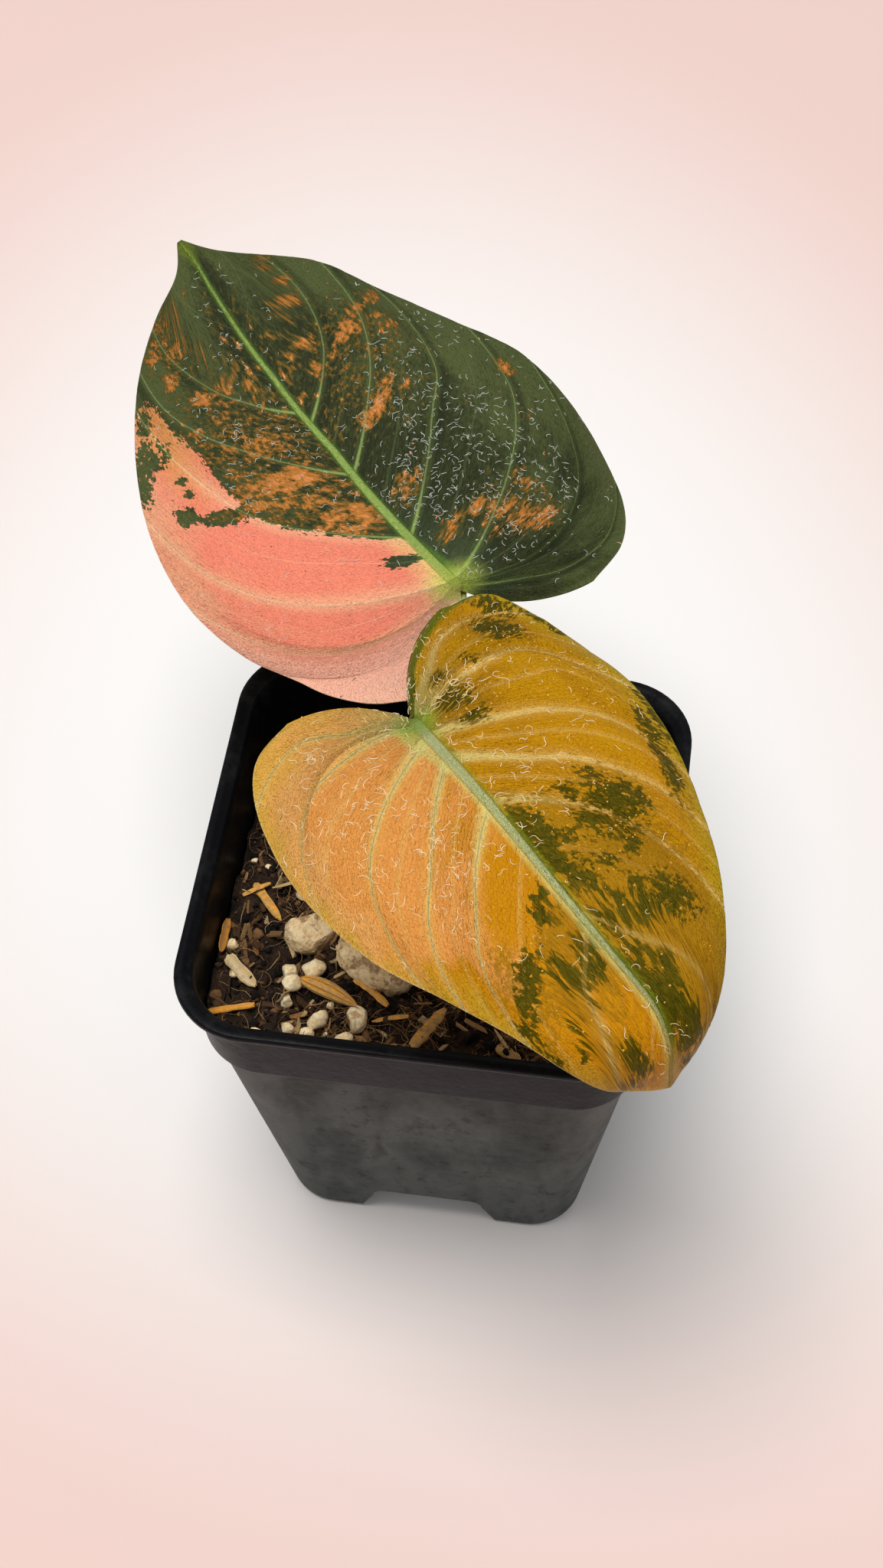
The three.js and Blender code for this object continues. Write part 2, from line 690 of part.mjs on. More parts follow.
// Rows of flat points across the whole leaf, from the left margin over the midrib to the
// right margin. The row at the sinus meets in one point at the midrib.
function leafRows(leaf) {
  const curves = [marginCurve(leaf.left), marginCurve(leaf.right)];
  const rows = [];
  for (let vein = 0; vein + 1 < leaf.veins.length; vein += 1) {
    for (let step = 0; step < VEIN_ROWS; step += 1) {
      const span = leaf.veins[vein + 1].to - leaf.veins[vein].to;
      rows.push(leaf.veins[vein].to + (span * step) / VEIN_ROWS);
    }
  }
  rows.push(1);
  return rows.map((row) => {
    const points = [];
    for (let column = -BLADE_COLUMNS; column <= BLADE_COLUMNS; column += 1) {
      const share = Math.abs(column) / BLADE_COLUMNS;
      const curve = column < 0 ? curves[0] : curves[1];
      const flat = flatPoint(leaf, curve, row, share);
      const lift = bladeLift(leaf, column < 0 ? leaf.left : leaf.right, row, share);
      if (column === 0) {
        const left = flatPoint(leaf, curves[0], row, 0);
        points.push({ x: -left.x, y: left.y, lift, rib: 0 });
        points.push({ x: 0, y: flat.y, lift: lift + 0.25, rib: 1 });
        points.push({ x: flat.x, y: flat.y, lift, rib: 0 });
      } else {
        points.push({ x: Math.sign(column) * flat.x, y: flat.y, lift, rib: 0 });
      }
    }
    return points;
  });
}

// A closed blade between two skins on either side of its middle surface, split into
// triangles alike, with the midrib standing out below.
function makeLeaf(leaf) {
  const rows = leafRows(leaf);
  const width = rows[0].length;
  const centre = (width - 1) / 2;
  const flatPoints = rows.flat();
  const surface = flatPoints.map((point) => placeOnLeaf(leaf, point.x, point.y, point.lift));
  const index = (row, column) => {
    const folded = row === 0 && Math.abs(column - centre) <= 1 ? centre : column;
    return row * width + folded;
  };
  const faces = [];
  for (let row = 0; row + 1 < rows.length; row += 1) {
    for (let column = 0; column + 1 < width; column += 1) {
      const [a, b] = [index(row, column), index(row, column + 1)];
      const [c, d] = [index(row + 1, column + 1), index(row + 1, column)];
      const shorter = surface[b].distanceTo(surface[d]) < surface[a].distanceTo(surface[c]);
      const quad = shorter ? [[a, b, d], [b, c, d]] : [[a, b, c], [a, c, d]];
      faces.push(...quad.filter((face) => new Set(face).size === 3));
    }
  }
  const skin = new THREE.BufferGeometry().setFromPoints(surface);
  skin.setIndex(faces.flat());
  skin.computeVertexNormals();
  const normals = skin.attributes.normal;
  const count = flatPoints.length;
  const upper = [];
  const lower = [];
  flatPoints.forEach((point, i) => {
    const normal = new THREE.Vector3().fromBufferAttribute(normals, i);
    const depth = BLADE / 2 + point.rib * RIB_DEPTH * (1 - 0.7 * Math.max(point.y, 0) / leaf.length);
    upper.push(surface[i].clone().addScaledVector(normal, BLADE / 2).toArray());
    lower.push(surface[i].clone().addScaledVector(normal, -depth).toArray());
  });
  const border = [];
  for (let column = 0; column < width - 1; column += 1) {
    border.push([index(0, column), index(0, column + 1)]);
    border.push([index(rows.length - 1, column + 1), index(rows.length - 1, column)]);
  }
  for (let row = 0; row + 1 < rows.length; row += 1) {
    border.push([index(row, width - 1), index(row + 1, width - 1)]);
    border.push([index(row + 1, 0), index(row, 0)]);
  }
  const triangles = [...faces, ...faces.map(([a, b, c]) => [a + count, c + count, b + count])];
  border.filter(([a, b]) => a !== b).forEach(([a, b]) => {
    triangles.push([b, a, a + count], [b, a + count, b + count]);
  });
  return toGeometry(toSolid(fromTriangles([...upper, ...lower], triangles)));
}

// Assembly

const PLASTIC = { color: 0x26272a, roughness: 0.55, metalness: 0 };
const MIX = { color: 0x4a3222, roughness: 0.95, metalness: 0 };
const PUMICE = { color: 0xd9cbb3, roughness: 0.95, metalness: 0 };
const STALK = { color: 0x7f9a45, roughness: 0.6, metalness: 0 };
const UPPER_BLADE = { color: 0x3d5231, roughness: 0.6, metalness: 0 };
const LOWER_BLADE = { color: 0xc99a3c, roughness: 0.55, metalness: 0 };

const plant = new THREE.Group();

function addPiece(name, geometry, look) {
  const mesh = new THREE.Mesh(geometry, new THREE.MeshStandardMaterial(look));
  mesh.name = name;
  plant.add(mesh);
}

addPiece("pot", makePot(), PLASTIC);
addPiece("soil", makeSoil(makeStemHole()), MIX);
STONES.forEach((stone) => addPiece(stone.name, toGeometry(stoneSolid(stone, 0)), PUMICE));
addPiece("stem", makeStem(), STALK);
addPiece("petiole_upper", makePetiole(UPPER_PETIOLE, UPPER_LEAF, besideStem), STALK);
addPiece("petiole_lower", makePetiole(LOWER_PETIOLE, LOWER_LEAF, aboveStemTip), STALK);
addPiece("leaf_upper", makeLeaf(UPPER_LEAF), UPPER_BLADE);
addPiece("leaf_lower", makeLeaf(LOWER_LEAF), LOWER_BLADE);

const footprint = new THREE.Box3().setFromObject(plant);
plant.position.set(-(footprint.min.x + footprint.max.x) / 2, -(footprint.min.y + footprint.max.y) / 2, 0);

export default plant;
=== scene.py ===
import math

import bmesh
import bpy
import numpy as np
from mathutils import Matrix, Vector


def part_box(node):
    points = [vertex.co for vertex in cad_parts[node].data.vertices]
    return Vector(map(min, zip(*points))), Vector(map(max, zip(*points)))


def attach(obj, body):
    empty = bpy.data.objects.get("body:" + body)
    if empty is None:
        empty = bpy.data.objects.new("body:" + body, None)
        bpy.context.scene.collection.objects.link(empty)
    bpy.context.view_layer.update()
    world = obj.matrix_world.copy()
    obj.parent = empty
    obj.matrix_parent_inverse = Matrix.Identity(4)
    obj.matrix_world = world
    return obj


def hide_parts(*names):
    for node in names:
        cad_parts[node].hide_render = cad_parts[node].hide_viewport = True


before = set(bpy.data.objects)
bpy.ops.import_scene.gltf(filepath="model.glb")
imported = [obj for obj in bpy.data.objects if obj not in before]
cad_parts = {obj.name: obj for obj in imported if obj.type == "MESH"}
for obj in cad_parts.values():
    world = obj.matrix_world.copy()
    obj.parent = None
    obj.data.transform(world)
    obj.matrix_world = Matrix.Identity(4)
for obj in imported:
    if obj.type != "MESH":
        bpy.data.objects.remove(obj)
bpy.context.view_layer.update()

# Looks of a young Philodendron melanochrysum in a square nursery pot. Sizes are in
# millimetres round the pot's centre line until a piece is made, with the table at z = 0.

MM = 0.001
POT_LOW, POT_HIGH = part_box("pot")
CENTRE = (POT_LOW + POT_HIGH) / 2

# Pot. A half width is measured from the centre line to a side.
POT_HEIGHT = (POT_HIGH.z - POT_LOW.z) / MM
RIM_HALF = (POT_HIGH.x - POT_LOW.x) / 2 / MM
RIM_CORNER = 14.5
BASE_HALF = 31.5
BASE_CORNER = 10.8
WALL = 1.1
FLOOR = 1.2
COLLAR_FOOT = POT_HEIGHT - 20
COLLAR_TOP_HALF = 42.6
COLLAR_TOP_CORNER = 13.4
COLLAR_FOOT_HALF = 41.5
COLLAR_FOOT_CORNER = 12.6
BODY_TOP_HALF = 40.2
BODY_TOP_CORNER = 11.9
LIP_THICKNESS = 1.8
CHANNEL_HALF = 12.6
CHANNEL_HEIGHT = 12
DRAIN_RADIUS = 3
DRAIN_OFFSET = 17
GAP = 0.3

SOIL_LEVEL = 81.5

# Plant.
BLADE_HALF = 0.24
EDGE_HALF = 0.12
RIB_DEPTH = 0.8
PETIOLE_SEAT = 0.95
STEM_RADIUS = 3.4
NODE_SWELL = 0.55
PETIOLE_RADIUS = 1.75
STEM_ROUTE = [(1, 4, 68), (1.1, 4, 80), (0.6, 3.4, 90), (-0.3, 2.2, 97)]
STEM_X, STEM_Y = STEM_ROUTE[0][:2]
UPPER_PETIOLE = [(2, 4.9, 88), (2.6, 10.5, 97), (2.2, 18, 111), (0.6, 25, 127), (-0.4, 28, 137.6)]
LOWER_PETIOLE = [(-0.2, 2.35, 96), (-1.2, -0.8, 108), (-2.2, -5.2, 124), (-2.3, -9, 139),
                 (-1.8, -10.2, 147.6)]

# Each vein: where it starts on the midrib and ends on the margin, as shares, how far it
# bows, and where along it the bow leans.
UPPER_VEINS = [
    (0, 0, 0.27, 0), (0, 0.2, 0.53, 0.02), (0, 0.42, 0.56, -0.2), (0.015, 0.55, 0.41, -0.08),
    (0.145, 0.69, 0.28, 0.08), (0.33, 0.79, 0.25, 0.06), (0.49, 0.875, 0.25, 0.05), (1, 1, 0, 0),
]
LOWER_VEINS = [
    (0, 0, 0.25, 0), (0, 0.15, 0.44, 0), (0, 0.4, 0.6, -0.2), (0.04, 0.58, 0.42, -0.05),
    (0.11, 0.68, 0.26, 0), (0.24, 0.8, 0.28, 0.05), (0.45, 0.9, 0.25, 0.05), (1, 1, 0, 0),
]

# The leaves. x runs across the blade and y along its midrib, from the petiole to the tip.
# Each margin goes from the bottom of the basal lobe round to the tip. Strays say how far each
# vein but the first and the last leaves its own row, at six shares on its way out. A spine is
# the midrib's length and how far it bends in all. Angles are in degrees, a droop's for each
# millimetre.
STRAY_SHARES = (0, 0.2, 0.4, 0.6, 0.8, 1)
UPPER_LEAF = {
    "veins": UPPER_VEINS, "base": (-0.4, 28.6, 138), "azimuth": -41.2, "pitch": 1, "roll": 6.2,
    "length": 103, "spine": (103, 3.7), "fold": None, "rib_half": 1.1, "quilt": 0.8, "wave": 0.7,
    "lean": 0.1, "bow": 1.7, "groove": 0.5,
    "sway": {"start": 40, "end": 86, "amount": -1.5, "tip": 1.4},
    "right": {
        "rise": 7, "droop": -0.5, "sinus_drop": 0.6,
        "margin": [(20, -14.5), (28.7, -10.8), (35.1, -3), (39.6, 9.7), (41.9, 25), (40.7, 41),
                   (35.5, 53.7), (28, 67.2), (20.8, 80.8), (12.2, 90), (4, 97.6), (0.5, 103.2)],
        "strays": [(0, 0, -0.035, -0.048, -0.05, 0), (0, -0.055, -0.03, -0.026, -0.007, 0.015),
                   (0, 0.018, 0.021, 0.012, -0.005, -0.005), (0, 0.006, 0.007, -0.008, 0, 0.01),
                   (0, 0.002, -0.003, -0.008, -0.01, -0.01), (-0.007, -0.014, -0.019, -0.018, -0.013, 0)],
    },
    "left": {
        "rise": 7, "droop": -0.45, "sinus_drop": 0.6,
        "margin": [(20.9, -15.8), (25.9, -12.9), (31, -6.4), (34.2, 1), (39, 11.5), (41.5, 24),
                   (40.8, 38), (37.6, 51), (31, 65), (22.5, 77), (12.9, 88), (4.8, 95.6), (0.5, 103)],
        "strays": [(0, 0, -0.01, -0.02, -0.03, -0.03), (0, -0.02, -0.04, -0.05, -0.06, -0.07),
                   (0, 0, -0.003, -0.01, -0.022, -0.03), (0, -0.005, -0.01, 0.003, 0.01, 0.01),
                   (0, -0.005, -0.01, -0.02, -0.03, -0.03), (0.005, -0.002, -0.013, -0.02, -0.03, -0.035)],
    },
}
LOWER_LEAF = {
    "veins": LOWER_VEINS, "base": (-1.7, -10.6, 148), "azimuth": 135.4, "pitch": 1.5, "roll": -5.2,
    "length": 81, "spine": (81, -25), "rib_half": 1.15, "quilt": 1, "wave": 0.5, "lean": 0.1,
    "bow": 0, "groove": 1,
    "fold": {"start": 62.5, "end": 74, "turn": -66, "spread": 0.019},
    "sway": {"start": 20, "end": 62, "amount": 0.4, "tip": 2.5},
    "right": {
        "rise": 7, "droop": -0.74, "sinus_drop": 0.3,
        "margin": [(16.6, -14.2), (24.6, -12), (29.2, -6.8), (32.3, 2), (33.5, 14.5), (31.3, 30),
                   (26.2, 42), (21.5, 53), (17.6, 62.5), (12, 71), (5, 77), (0.5, 81)],
        "strays": [(0, 0.12, 0.05, 0.005, 0, 0), (0, 0.025, 0.013, -0.028, -0.058, -0.035),
                   (0.017, 0.014, 0.005, -0.01, -0.02, -0.03), (0.01, 0.01, 0.003, -0.02, -0.04, -0.06),
                   (0.01, 0, -0.015, -0.043, -0.06, -0.08), (0.025, 0.02, 0.012, 0.01, 0.003, 0)],
    },
    "left": {
        "rise": 7, "droop": -0.97, "sinus_drop": 2,
        "margin": [(19, -18.4), (26.8, -16), (32, -8.2), (35, 2.2), (36.1, 15), (33.6, 30),
                   (28.2, 42.5), (21.8, 53.5), (14.6, 63.5), (8.5, 71.5), (4, 77), (0.5, 81)],
        "strays": [(0, 0.05, 0, -0.01, -0.007, 0), (0, 0.025, 0.008, -0.045, -0.04, -0.04),
                   (0.01, 0.016, -0.002, -0.028, -0.05, -0.055), (0.01, 0.01, -0.015, -0.03, -0.05, -0.06),
                   (0.007, -0.015, -0.035, -0.045, -0.055, -0.06), (0.02, 0.02, 0.015, 0.007, 0.003, 0)],
    },
}
ROWS_A_VEIN = 38
COLUMNS_A_SIDE = 62
RIB_COLUMNS = 9
BLADE_FACTS = (
    "aside", "between", "along", "across", "vein", "edge", "side", "rib_near", "share", "row", "y",
)
SWAY_REACH = 30  # from the midrib to where its sway has faded out
BEYOND_FOLD = 20
FAR_FROM_VEIN = 9


# Plain helpers

def smoothstep(value, low, high):
    share = np.clip((np.asarray(value, float) - low) / (high - low), 0, 1)
    return share * share * (3 - 2 * share)


def bell(distance, width):
    """1 at a distance of 0, fading away on both sides."""
    return np.exp(-((distance / width) ** 2))


def unit(vectors):
    return vectors / np.maximum(np.linalg.norm(vectors, axis=-1, keepdims=True), 1e-12)


def srgb(red, green, blue):
    """A colour as a picture shows it, 0 to 255, as the linear colour that a shader takes."""
    linear = []
    for part in (red, green, blue):
        share = part / 255
        linear.append(share / 12.92 if share <= 0.04045 else ((share + 0.055) / 1.055) ** 2.4)
    return (*linear, 1.0)


def value_noise(points, scale, seed):
    """Smooth noise from -1 to 1 at places in millimetres, with lumps of the given size."""
    table = np.random.default_rng(seed).uniform(-1, 1, 4096)
    place = np.asarray(points, float) / scale
    cell = np.floor(place).astype(np.int64)
    part = place - cell
    part = part * part * (3 - 2 * part)
    total = np.zeros(place.shape[:-1])
    for corner in np.ndindex(*(2,) * place.shape[-1]):
        spot = cell + np.array(corner)
        key = np.zeros(spot.shape[:-1], np.int64)
        for axis, prime in zip(range(spot.shape[-1]), (73856093, 19349663, 83492791)):
            key = key ^ (spot[..., axis] * prime)
        total += np.prod(np.where(np.array(corner) == 1, part, 1 - part), axis=-1) * table[key % 4096]
    return total


def rotation(degrees, axis):
    return np.array(Matrix.Rotation(math.radians(degrees), 3, axis))


def linked(name, data):
    thing = bpy.data.objects.new(name, data)
    bpy.context.scene.collection.objects.link(thing)
    return thing


def make_piece(name, points, faces, material, slot, replaced=None, facts=None, sharp=None):
    """A mesh piece from points in millimetres, riding on the one body."""
    mesh = bpy.data.meshes.new(name)
    place = np.asarray(points, float) * MM + (CENTRE.x, CENTRE.y, 0)
    mesh.from_pydata(place.tolist(), [], [tuple(int(i) for i in face) for face in faces])
    mesh.polygons.foreach_set("use_smooth", [True] * len(mesh.polygons))
    mesh.materials.append(material)
    for fact, values in (facts or {}).items():
        attribute = mesh.attributes.new(fact, "FLOAT", "POINT")
        attribute.data.foreach_set("value", np.asarray(values, np.float32).ravel())
    if sharp is not None:
        mesh.set_sharp_from_angle(angle=math.radians(sharp))
    mesh.validate()
    drop_loose(mesh)
    piece = linked(name, mesh)
    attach(piece, "root")
    if replaced:
        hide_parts(replaced)


def drop_loose(mesh):
    """Removes points that no face uses."""
    shaped = bmesh.new()
    shaped.from_mesh(mesh)
    loose = [point for point in shaped.verts if not point.link_faces]
    if loose:
        bmesh.ops.delete(shaped, geom=loose, context="VERTS")
        shaped.to_mesh(mesh)
    shaped.free()


def join(parts):
    """One list of points and faces from several."""
    points, faces, start = [], [], 0
    for some_points, some_faces in parts:
        points.append(np.asarray(some_points, float))
        faces += [tuple(i + start for i in face) for face in some_faces]
        start += len(some_points)
    return np.concatenate(points), faces


def loft(rings):
    """A closed skin over a stack of rings with equal numbers of points."""
    count, levels = len(rings[0]), len(rings)
    faces = []
    for level in range(levels - 1):
        for i in range(count):
            a, b = level * count + i, level * count + (i + 1) % count
            faces.append((a, b, b + count, a + count))
    faces.append(tuple(range(count - 1, -1, -1)))
    faces.append(tuple(range((levels - 1) * count, levels * count)))
    return np.concatenate(rings), faces


def turns(sides, start=0.0):
    """Angles that go once round."""
    return 2 * np.pi * (np.arange(sides) + start) / sides


def ring_about(centre, radius, angle, first, second):
    """Points round a centre, in the plane of two directions."""
    return centre + np.outer(radius * np.cos(angle), first) + np.outer(radius * np.sin(angle), second)


# Camera, light and floor. The target is in millimetres round the pot's centre line, the light
# and the floor are in metres.

TARGET = (-2.06, 14.93, 95)
DISTANCE = 436.4
AZIMUTH, ELEVATION, ROLL = 9.6, 54.7, -1.87
LENS, SENSOR_HEIGHT = 52.0, 36
SKY_COLOUR, SKY_STRENGTH = (0.97, 0.985, 1.0, 1), 0.46
KEY_OFFSET, KEY_HEIGHT, KEY_AIM = (-0.253, -0.138), 2.3, 0.08
KEY_SIZE, KEY_POWER, KEY_COLOUR = 1.15, 37.0, (1.0, 0.985, 0.965)
FLOOR_HALF = 3


def make_camera():
    azimuth, elevation = math.radians(AZIMUTH), math.radians(ELEVATION)
    back = Vector((math.sin(azimuth) * math.cos(elevation), -math.cos(azimuth) * math.cos(elevation),
                   math.sin(elevation)))
    data = bpy.data.cameras.new("camera")
    data.sensor_fit = "VERTICAL"
    data.sensor_height = SENSOR_HEIGHT
    data.lens = LENS
    data.clip_start = 0.01
    camera = linked("camera", data)
    target = Vector((CENTRE.x, CENTRE.y, 0)) + Vector(TARGET) * MM
    turn = back.to_track_quat("Z", "Y").to_matrix().to_4x4()
    roll = Matrix.Rotation(math.radians(ROLL), 4, "Z")
    camera.matrix_world = Matrix.Translation(target + back * DISTANCE * MM) @ turn @ roll
    bpy.context.scene.camera = camera


def make_studio():
    """A soft lamp high up at the front left, under an even pale sky."""
    scene = bpy.context.scene
    scene.view_settings.view_transform = "Standard"
    scene.world = bpy.data.worlds.new("studio")
    scene.world.use_nodes = True
    background = scene.world.node_tree.nodes["Background"]
    background.inputs["Color"].default_value = SKY_COLOUR
    background.inputs["Strength"].default_value = SKY_STRENGTH
    data = bpy.data.lights.new("key", "AREA")
    data.shape = "DISK"
    data.size = KEY_SIZE
    data.energy = KEY_POWER
    data.color = KEY_COLOUR
    light = linked("key", data)
    light.location = (CENTRE.x + KEY_OFFSET[0], CENTRE.y + KEY_OFFSET[1], KEY_HEIGHT)
    out = Vector((*KEY_OFFSET, KEY_HEIGHT - KEY_AIM))
    light.rotation_euler = out.to_track_quat("Z", "Y").to_euler()


def floor_material():
    """White round the pot, turning a faint pink away from it."""
    shade = Shader("floor")
    x, y, _ = shade.axes()
    beyond = y - 0.04
    sideways = (x + 0.008 + beyond * 0.13) * 1.6
    outwards = beyond * (1.9 - beyond.step(-0.005, 0.005) * 0.9)
    away = shade.root(sideways * sideways + outwards * outwards)
    colour = shade.mix(away.step(0.11, 0.36), (247, 245, 243), (236, 207, 199))
    return shade.finish(colour, shade.noise(shade.place(), 90) * 0.1 + 0.6, 0.1)


def make_floor():
    mesh = bpy.data.meshes.new("floor")
    half = FLOOR_HALF
    corners = [(-half, -half, 0), (half, -half, 0), (half, half, 0), (-half, half, 0)]
    mesh.from_pydata(corners, [], [(0, 1, 2, 3)])
    mesh.materials.append(floor_material())
    linked("floor", mesh)


# Materials. Colours are (red, green, blue) as a picture shows them, 0 to 255.

class Value:
    """A value in a shader, for writing sums and products with."""

    def __init__(self, shade, socket):
        self.shade, self.socket = shade, socket

    def __add__(self, other):
        return self.shade.math("ADD", self, other)

    def __sub__(self, other):
        return self.shade.math("SUBTRACT", self, other)

    def __rsub__(self, other):
        return self.shade.math("SUBTRACT", other, self)

    def __mul__(self, other):
        return self.shade.math("MULTIPLY", self, other)

    def __abs__(self):
        return self.shade.math("ABSOLUTE", self)

    def step(self, low, high):
        """0 below low and 1 above high, or the other way round where low is the larger."""
        if not isinstance(high, Value) and low > high:
            return 1 - self.step(high, low)
        return self.shade.node("ShaderNodeMapRange", {0: self, 1: low, 2: high},
                               interpolation_type="SMOOTHSTEP")

    def within(self, inner, outer):
        """1 closer than the inner distance, falling to 0 at the outer one."""
        return 1 - self.step(inner, outer)


class Shader:
    """Builds a material's nodes step by step."""

    def __init__(self, name):
        self.material = bpy.data.materials.new(name)
        self.material.use_nodes = True
        self.tree = self.material.node_tree

    def put(self, socket, value):
        if isinstance(value, Value):
            self.tree.links.new(value.socket, socket)
        else:
            socket.default_value = srgb(*value) if isinstance(value, tuple) else value

    def node(self, kind, values, output=0, **settings):
        """Adds a node and gives one of its outputs."""
        node = self.tree.nodes.new(kind)
        for key, value in settings.items():
            setattr(node, key, value)
        for key, value in values.items():
            self.put(node.inputs[key], value)
        return Value(self, node.outputs[output])

    def math(self, operation, *values):
        return self.node("ShaderNodeMath", dict(enumerate(values)), operation=operation)

    def root(self, value):
        return self.math("SQRT", value)

    def fact(self, name):
        return self.node("ShaderNodeAttribute", {}, "Fac", attribute_name=name)

    def place(self):
        return self.node("ShaderNodeTexCoord", {}, "Object")

    def axes(self):
        """The x, y and z of the place."""
        place = self.place()
        return [self.node("ShaderNodeSeparateXYZ", {0: place}, axis) for axis in range(3)]

    def vector(self, *parts):
        return self.node("ShaderNodeCombineXYZ", dict(enumerate(parts)))

    def noise(self, vector, scale=1, detail=3, rough=0.55, warp=0):
        values = {"Vector": vector, "Scale": scale, "Detail": detail, "Roughness": rough,
                  "Distortion": warp}
        return self.node("ShaderNodeTexNoise", values)

    def swing(self, *settings):
        """Noise about 0, mostly between -0.5 and 0.5."""
        return (self.noise(*settings) - 0.5) * 2

    def cells(self, vector):
        """A random number for each cell of a net."""
        colour = self.node("ShaderNodeTexVoronoi", {"Vector": vector, "Scale": 1}, "Color")
        return self.node("ShaderNodeSeparateColor", {0: colour})

    def borders(self, vector):
        """The distance to the nearest border between such cells."""
        return self.node("ShaderNodeTexVoronoi", {"Vector": vector, "Scale": 1}, "Distance",
                         feature="DISTANCE_TO_EDGE")

    def mix(self, share, low, high):
        return self.node("ShaderNodeMix", {0: share, 6: low, 7: high}, 2, data_type="RGBA")

    def paint(self, colour, *coats):
        """Lays coats of (share, colour) on a colour, in turn."""
        for share, coat in coats:
            colour = self.mix(share, colour, coat)
        return colour

    def finish(self, colour, roughness, specular, bumps=(), tint=(255, 255, 255)):
        """Bumps are (height, depth in millimetres), the height from 0 to 1, in turn."""
        surface = self.tree.nodes["Principled BSDF"].inputs
        normal = {}
        for height, depth in bumps:
            values = {"Height": height, "Distance": depth * MM, "Strength": 1, **normal}
            normal = {"Normal": self.node("ShaderNodeBump", values)}
        values = {"Base Color": colour, "Roughness": roughness, "Specular IOR Level": specular,
                  "Specular Tint": tint, **normal}
        for key, value in values.items():
            self.put(surface[key], value)
        return self.material


# Leaf shape

def along_arcs(chain, distance):
    """How far along, how high and how steep a point is on a chain of (length, turn) arcs."""
    distance = np.asarray(distance, float)
    along, height = np.zeros_like(distance), np.zeros_like(distance)
    angle, left = np.zeros_like(distance), distance.copy()
    for index, (length, turn) in enumerate(chain):
        run = left if index == len(chain) - 1 else np.minimum(left, length)
        curvature = math.radians(turn) / length
        if abs(curvature) < 1e-9:
            curvature = 1e-9
        end = angle + curvature * run
        along += (np.sin(end) - np.sin(angle)) / curvature
        height -= (np.cos(end) - np.cos(angle)) / curvature
        angle = end
        left = left - run
    return along, height, angle


def leaf_axes(leaf):
    azimuth, pitch, roll = (math.radians(leaf[key]) for key in ("azimuth", "pitch", "roll"))
    along = np.array([math.sin(azimuth) * math.cos(pitch), math.cos(azimuth) * math.cos(pitch),
                      math.sin(pitch)])
    level = unit(np.cross(along, (0, 0, 1)))
    across = level * math.cos(roll) + np.cross(level, along) * math.sin(roll)
    return across, along, np.cross(across, along)


def place_on_leaf(leaf, x, y, lift):
    """Places points of the flat blade, lifted by a height, on the bent and folded leaf."""
    sway = leaf["sway"]
    wander = np.sin(np.pi * np.clip((y - sway["start"]) / (sway["end"] - sway["start"]), 0, 1))
    hook = sway["tip"] * smoothstep(y, sway["end"] - 2, leaf["length"] - 4)
    x = x + (sway["amount"] * wander + hook) * np.maximum(0, 1 - np.abs(x) / SWAY_REACH)
    left, right = leaf["left"], leaf["right"]
    rise = np.radians(np.where(x < 0, left["rise"], right["rise"]))
    bend = np.radians(np.where(x < 0, left["droop"], right["droop"]))
    tilt = rise + bend * np.abs(x)
    across = np.where(x < 0, -1, 1) * ((np.sin(tilt) - np.sin(rise)) / bend - lift * np.sin(tilt))
    height = -(np.cos(tilt) - np.cos(rise)) / bend + lift * np.cos(tilt)
    along, up, angle = along_arcs([leaf["spine"]], np.maximum(y, 0))
    along = along + np.minimum(y, 0)
    if leaf["fold"]:
        fold = leaf["fold"]
        slope = leaf["spine"][1] / leaf["spine"][0]
        bent = fold["end"] - fold["start"]
        chain = [(fold["start"], slope * fold["start"]), (bent, fold["turn"] + slope * bent),
                 (BEYOND_FOLD, slope * BEYOND_FOLD)]
        reached = np.maximum(y + fold["spread"] * x * x, 0)
        folded = along_arcs(chain, reached)
        plain = along_arcs([leaf["spine"]], reached)
        along = along + folded[0] - plain[0]
        up = up + folded[1] - plain[1]
        angle = angle + folded[2] - plain[2]
    axes = leaf_axes(leaf)
    return (np.array(leaf["base"]) + across[..., None] * axes[0]
            + (along - height * np.sin(angle))[..., None] * axes[1]
            + (up + height * np.cos(angle))[..., None] * axes[2])


def smooth_curve(points, steps=60):
    """A centripetal Catmull-Rom curve through the points, as many short straight runs."""
    knots = [np.array(point, float) for point in points]
    padded = [2 * knots[0] - knots[1], *knots, 2 * knots[-1] - knots[-2]]
    runs = []
    for i in range(len(knots) - 1):
        p0, p1, p2, p3 = padded[i:i + 4]
        d0, d1, d2 = (max(np.linalg.norm(b - a) ** 0.5, 1e-4) for a, b in ((p0, p1), (p1, p2), (p2, p3)))
        t1 = ((p1 - p0) / d0 - (p2 - p0) / (d0 + d1) + (p2 - p1) / d1) * d1
        t2 = ((p2 - p1) / d1 - (p3 - p1) / (d1 + d2) + (p3 - p2) / d2) * d1
        t = np.linspace(0, 1, steps, endpoint=i == len(knots) - 2)[:, None]
        square = -3 * p1 + 3 * p2 - 2 * t1 - t2
        cube = 2 * p1 - 2 * p2 + t1 + t2
        runs.append(p1 + t1 * t + square * t**2 + cube * t**3)
    return np.vstack(runs)


def along_curve(curve, shares):
    """Points at shares of a curve's length."""
    steps = np.linalg.norm(np.diff(curve, axis=0), axis=1)
    reached = np.concatenate([[0], np.cumsum(steps)])
    return np.stack([np.interp(shares, reached / reached[-1], line) for line in curve.T], -1)


def vein_value(veins, row, column):
    return np.interp(row, [vein[1] for vein in veins], [vein[column] for vein in veins])


def rib_half_width(leaf, y):
    return leaf["rib_half"] * (1 - 0.72 * np.clip(y / leaf["length"], 0, 1))


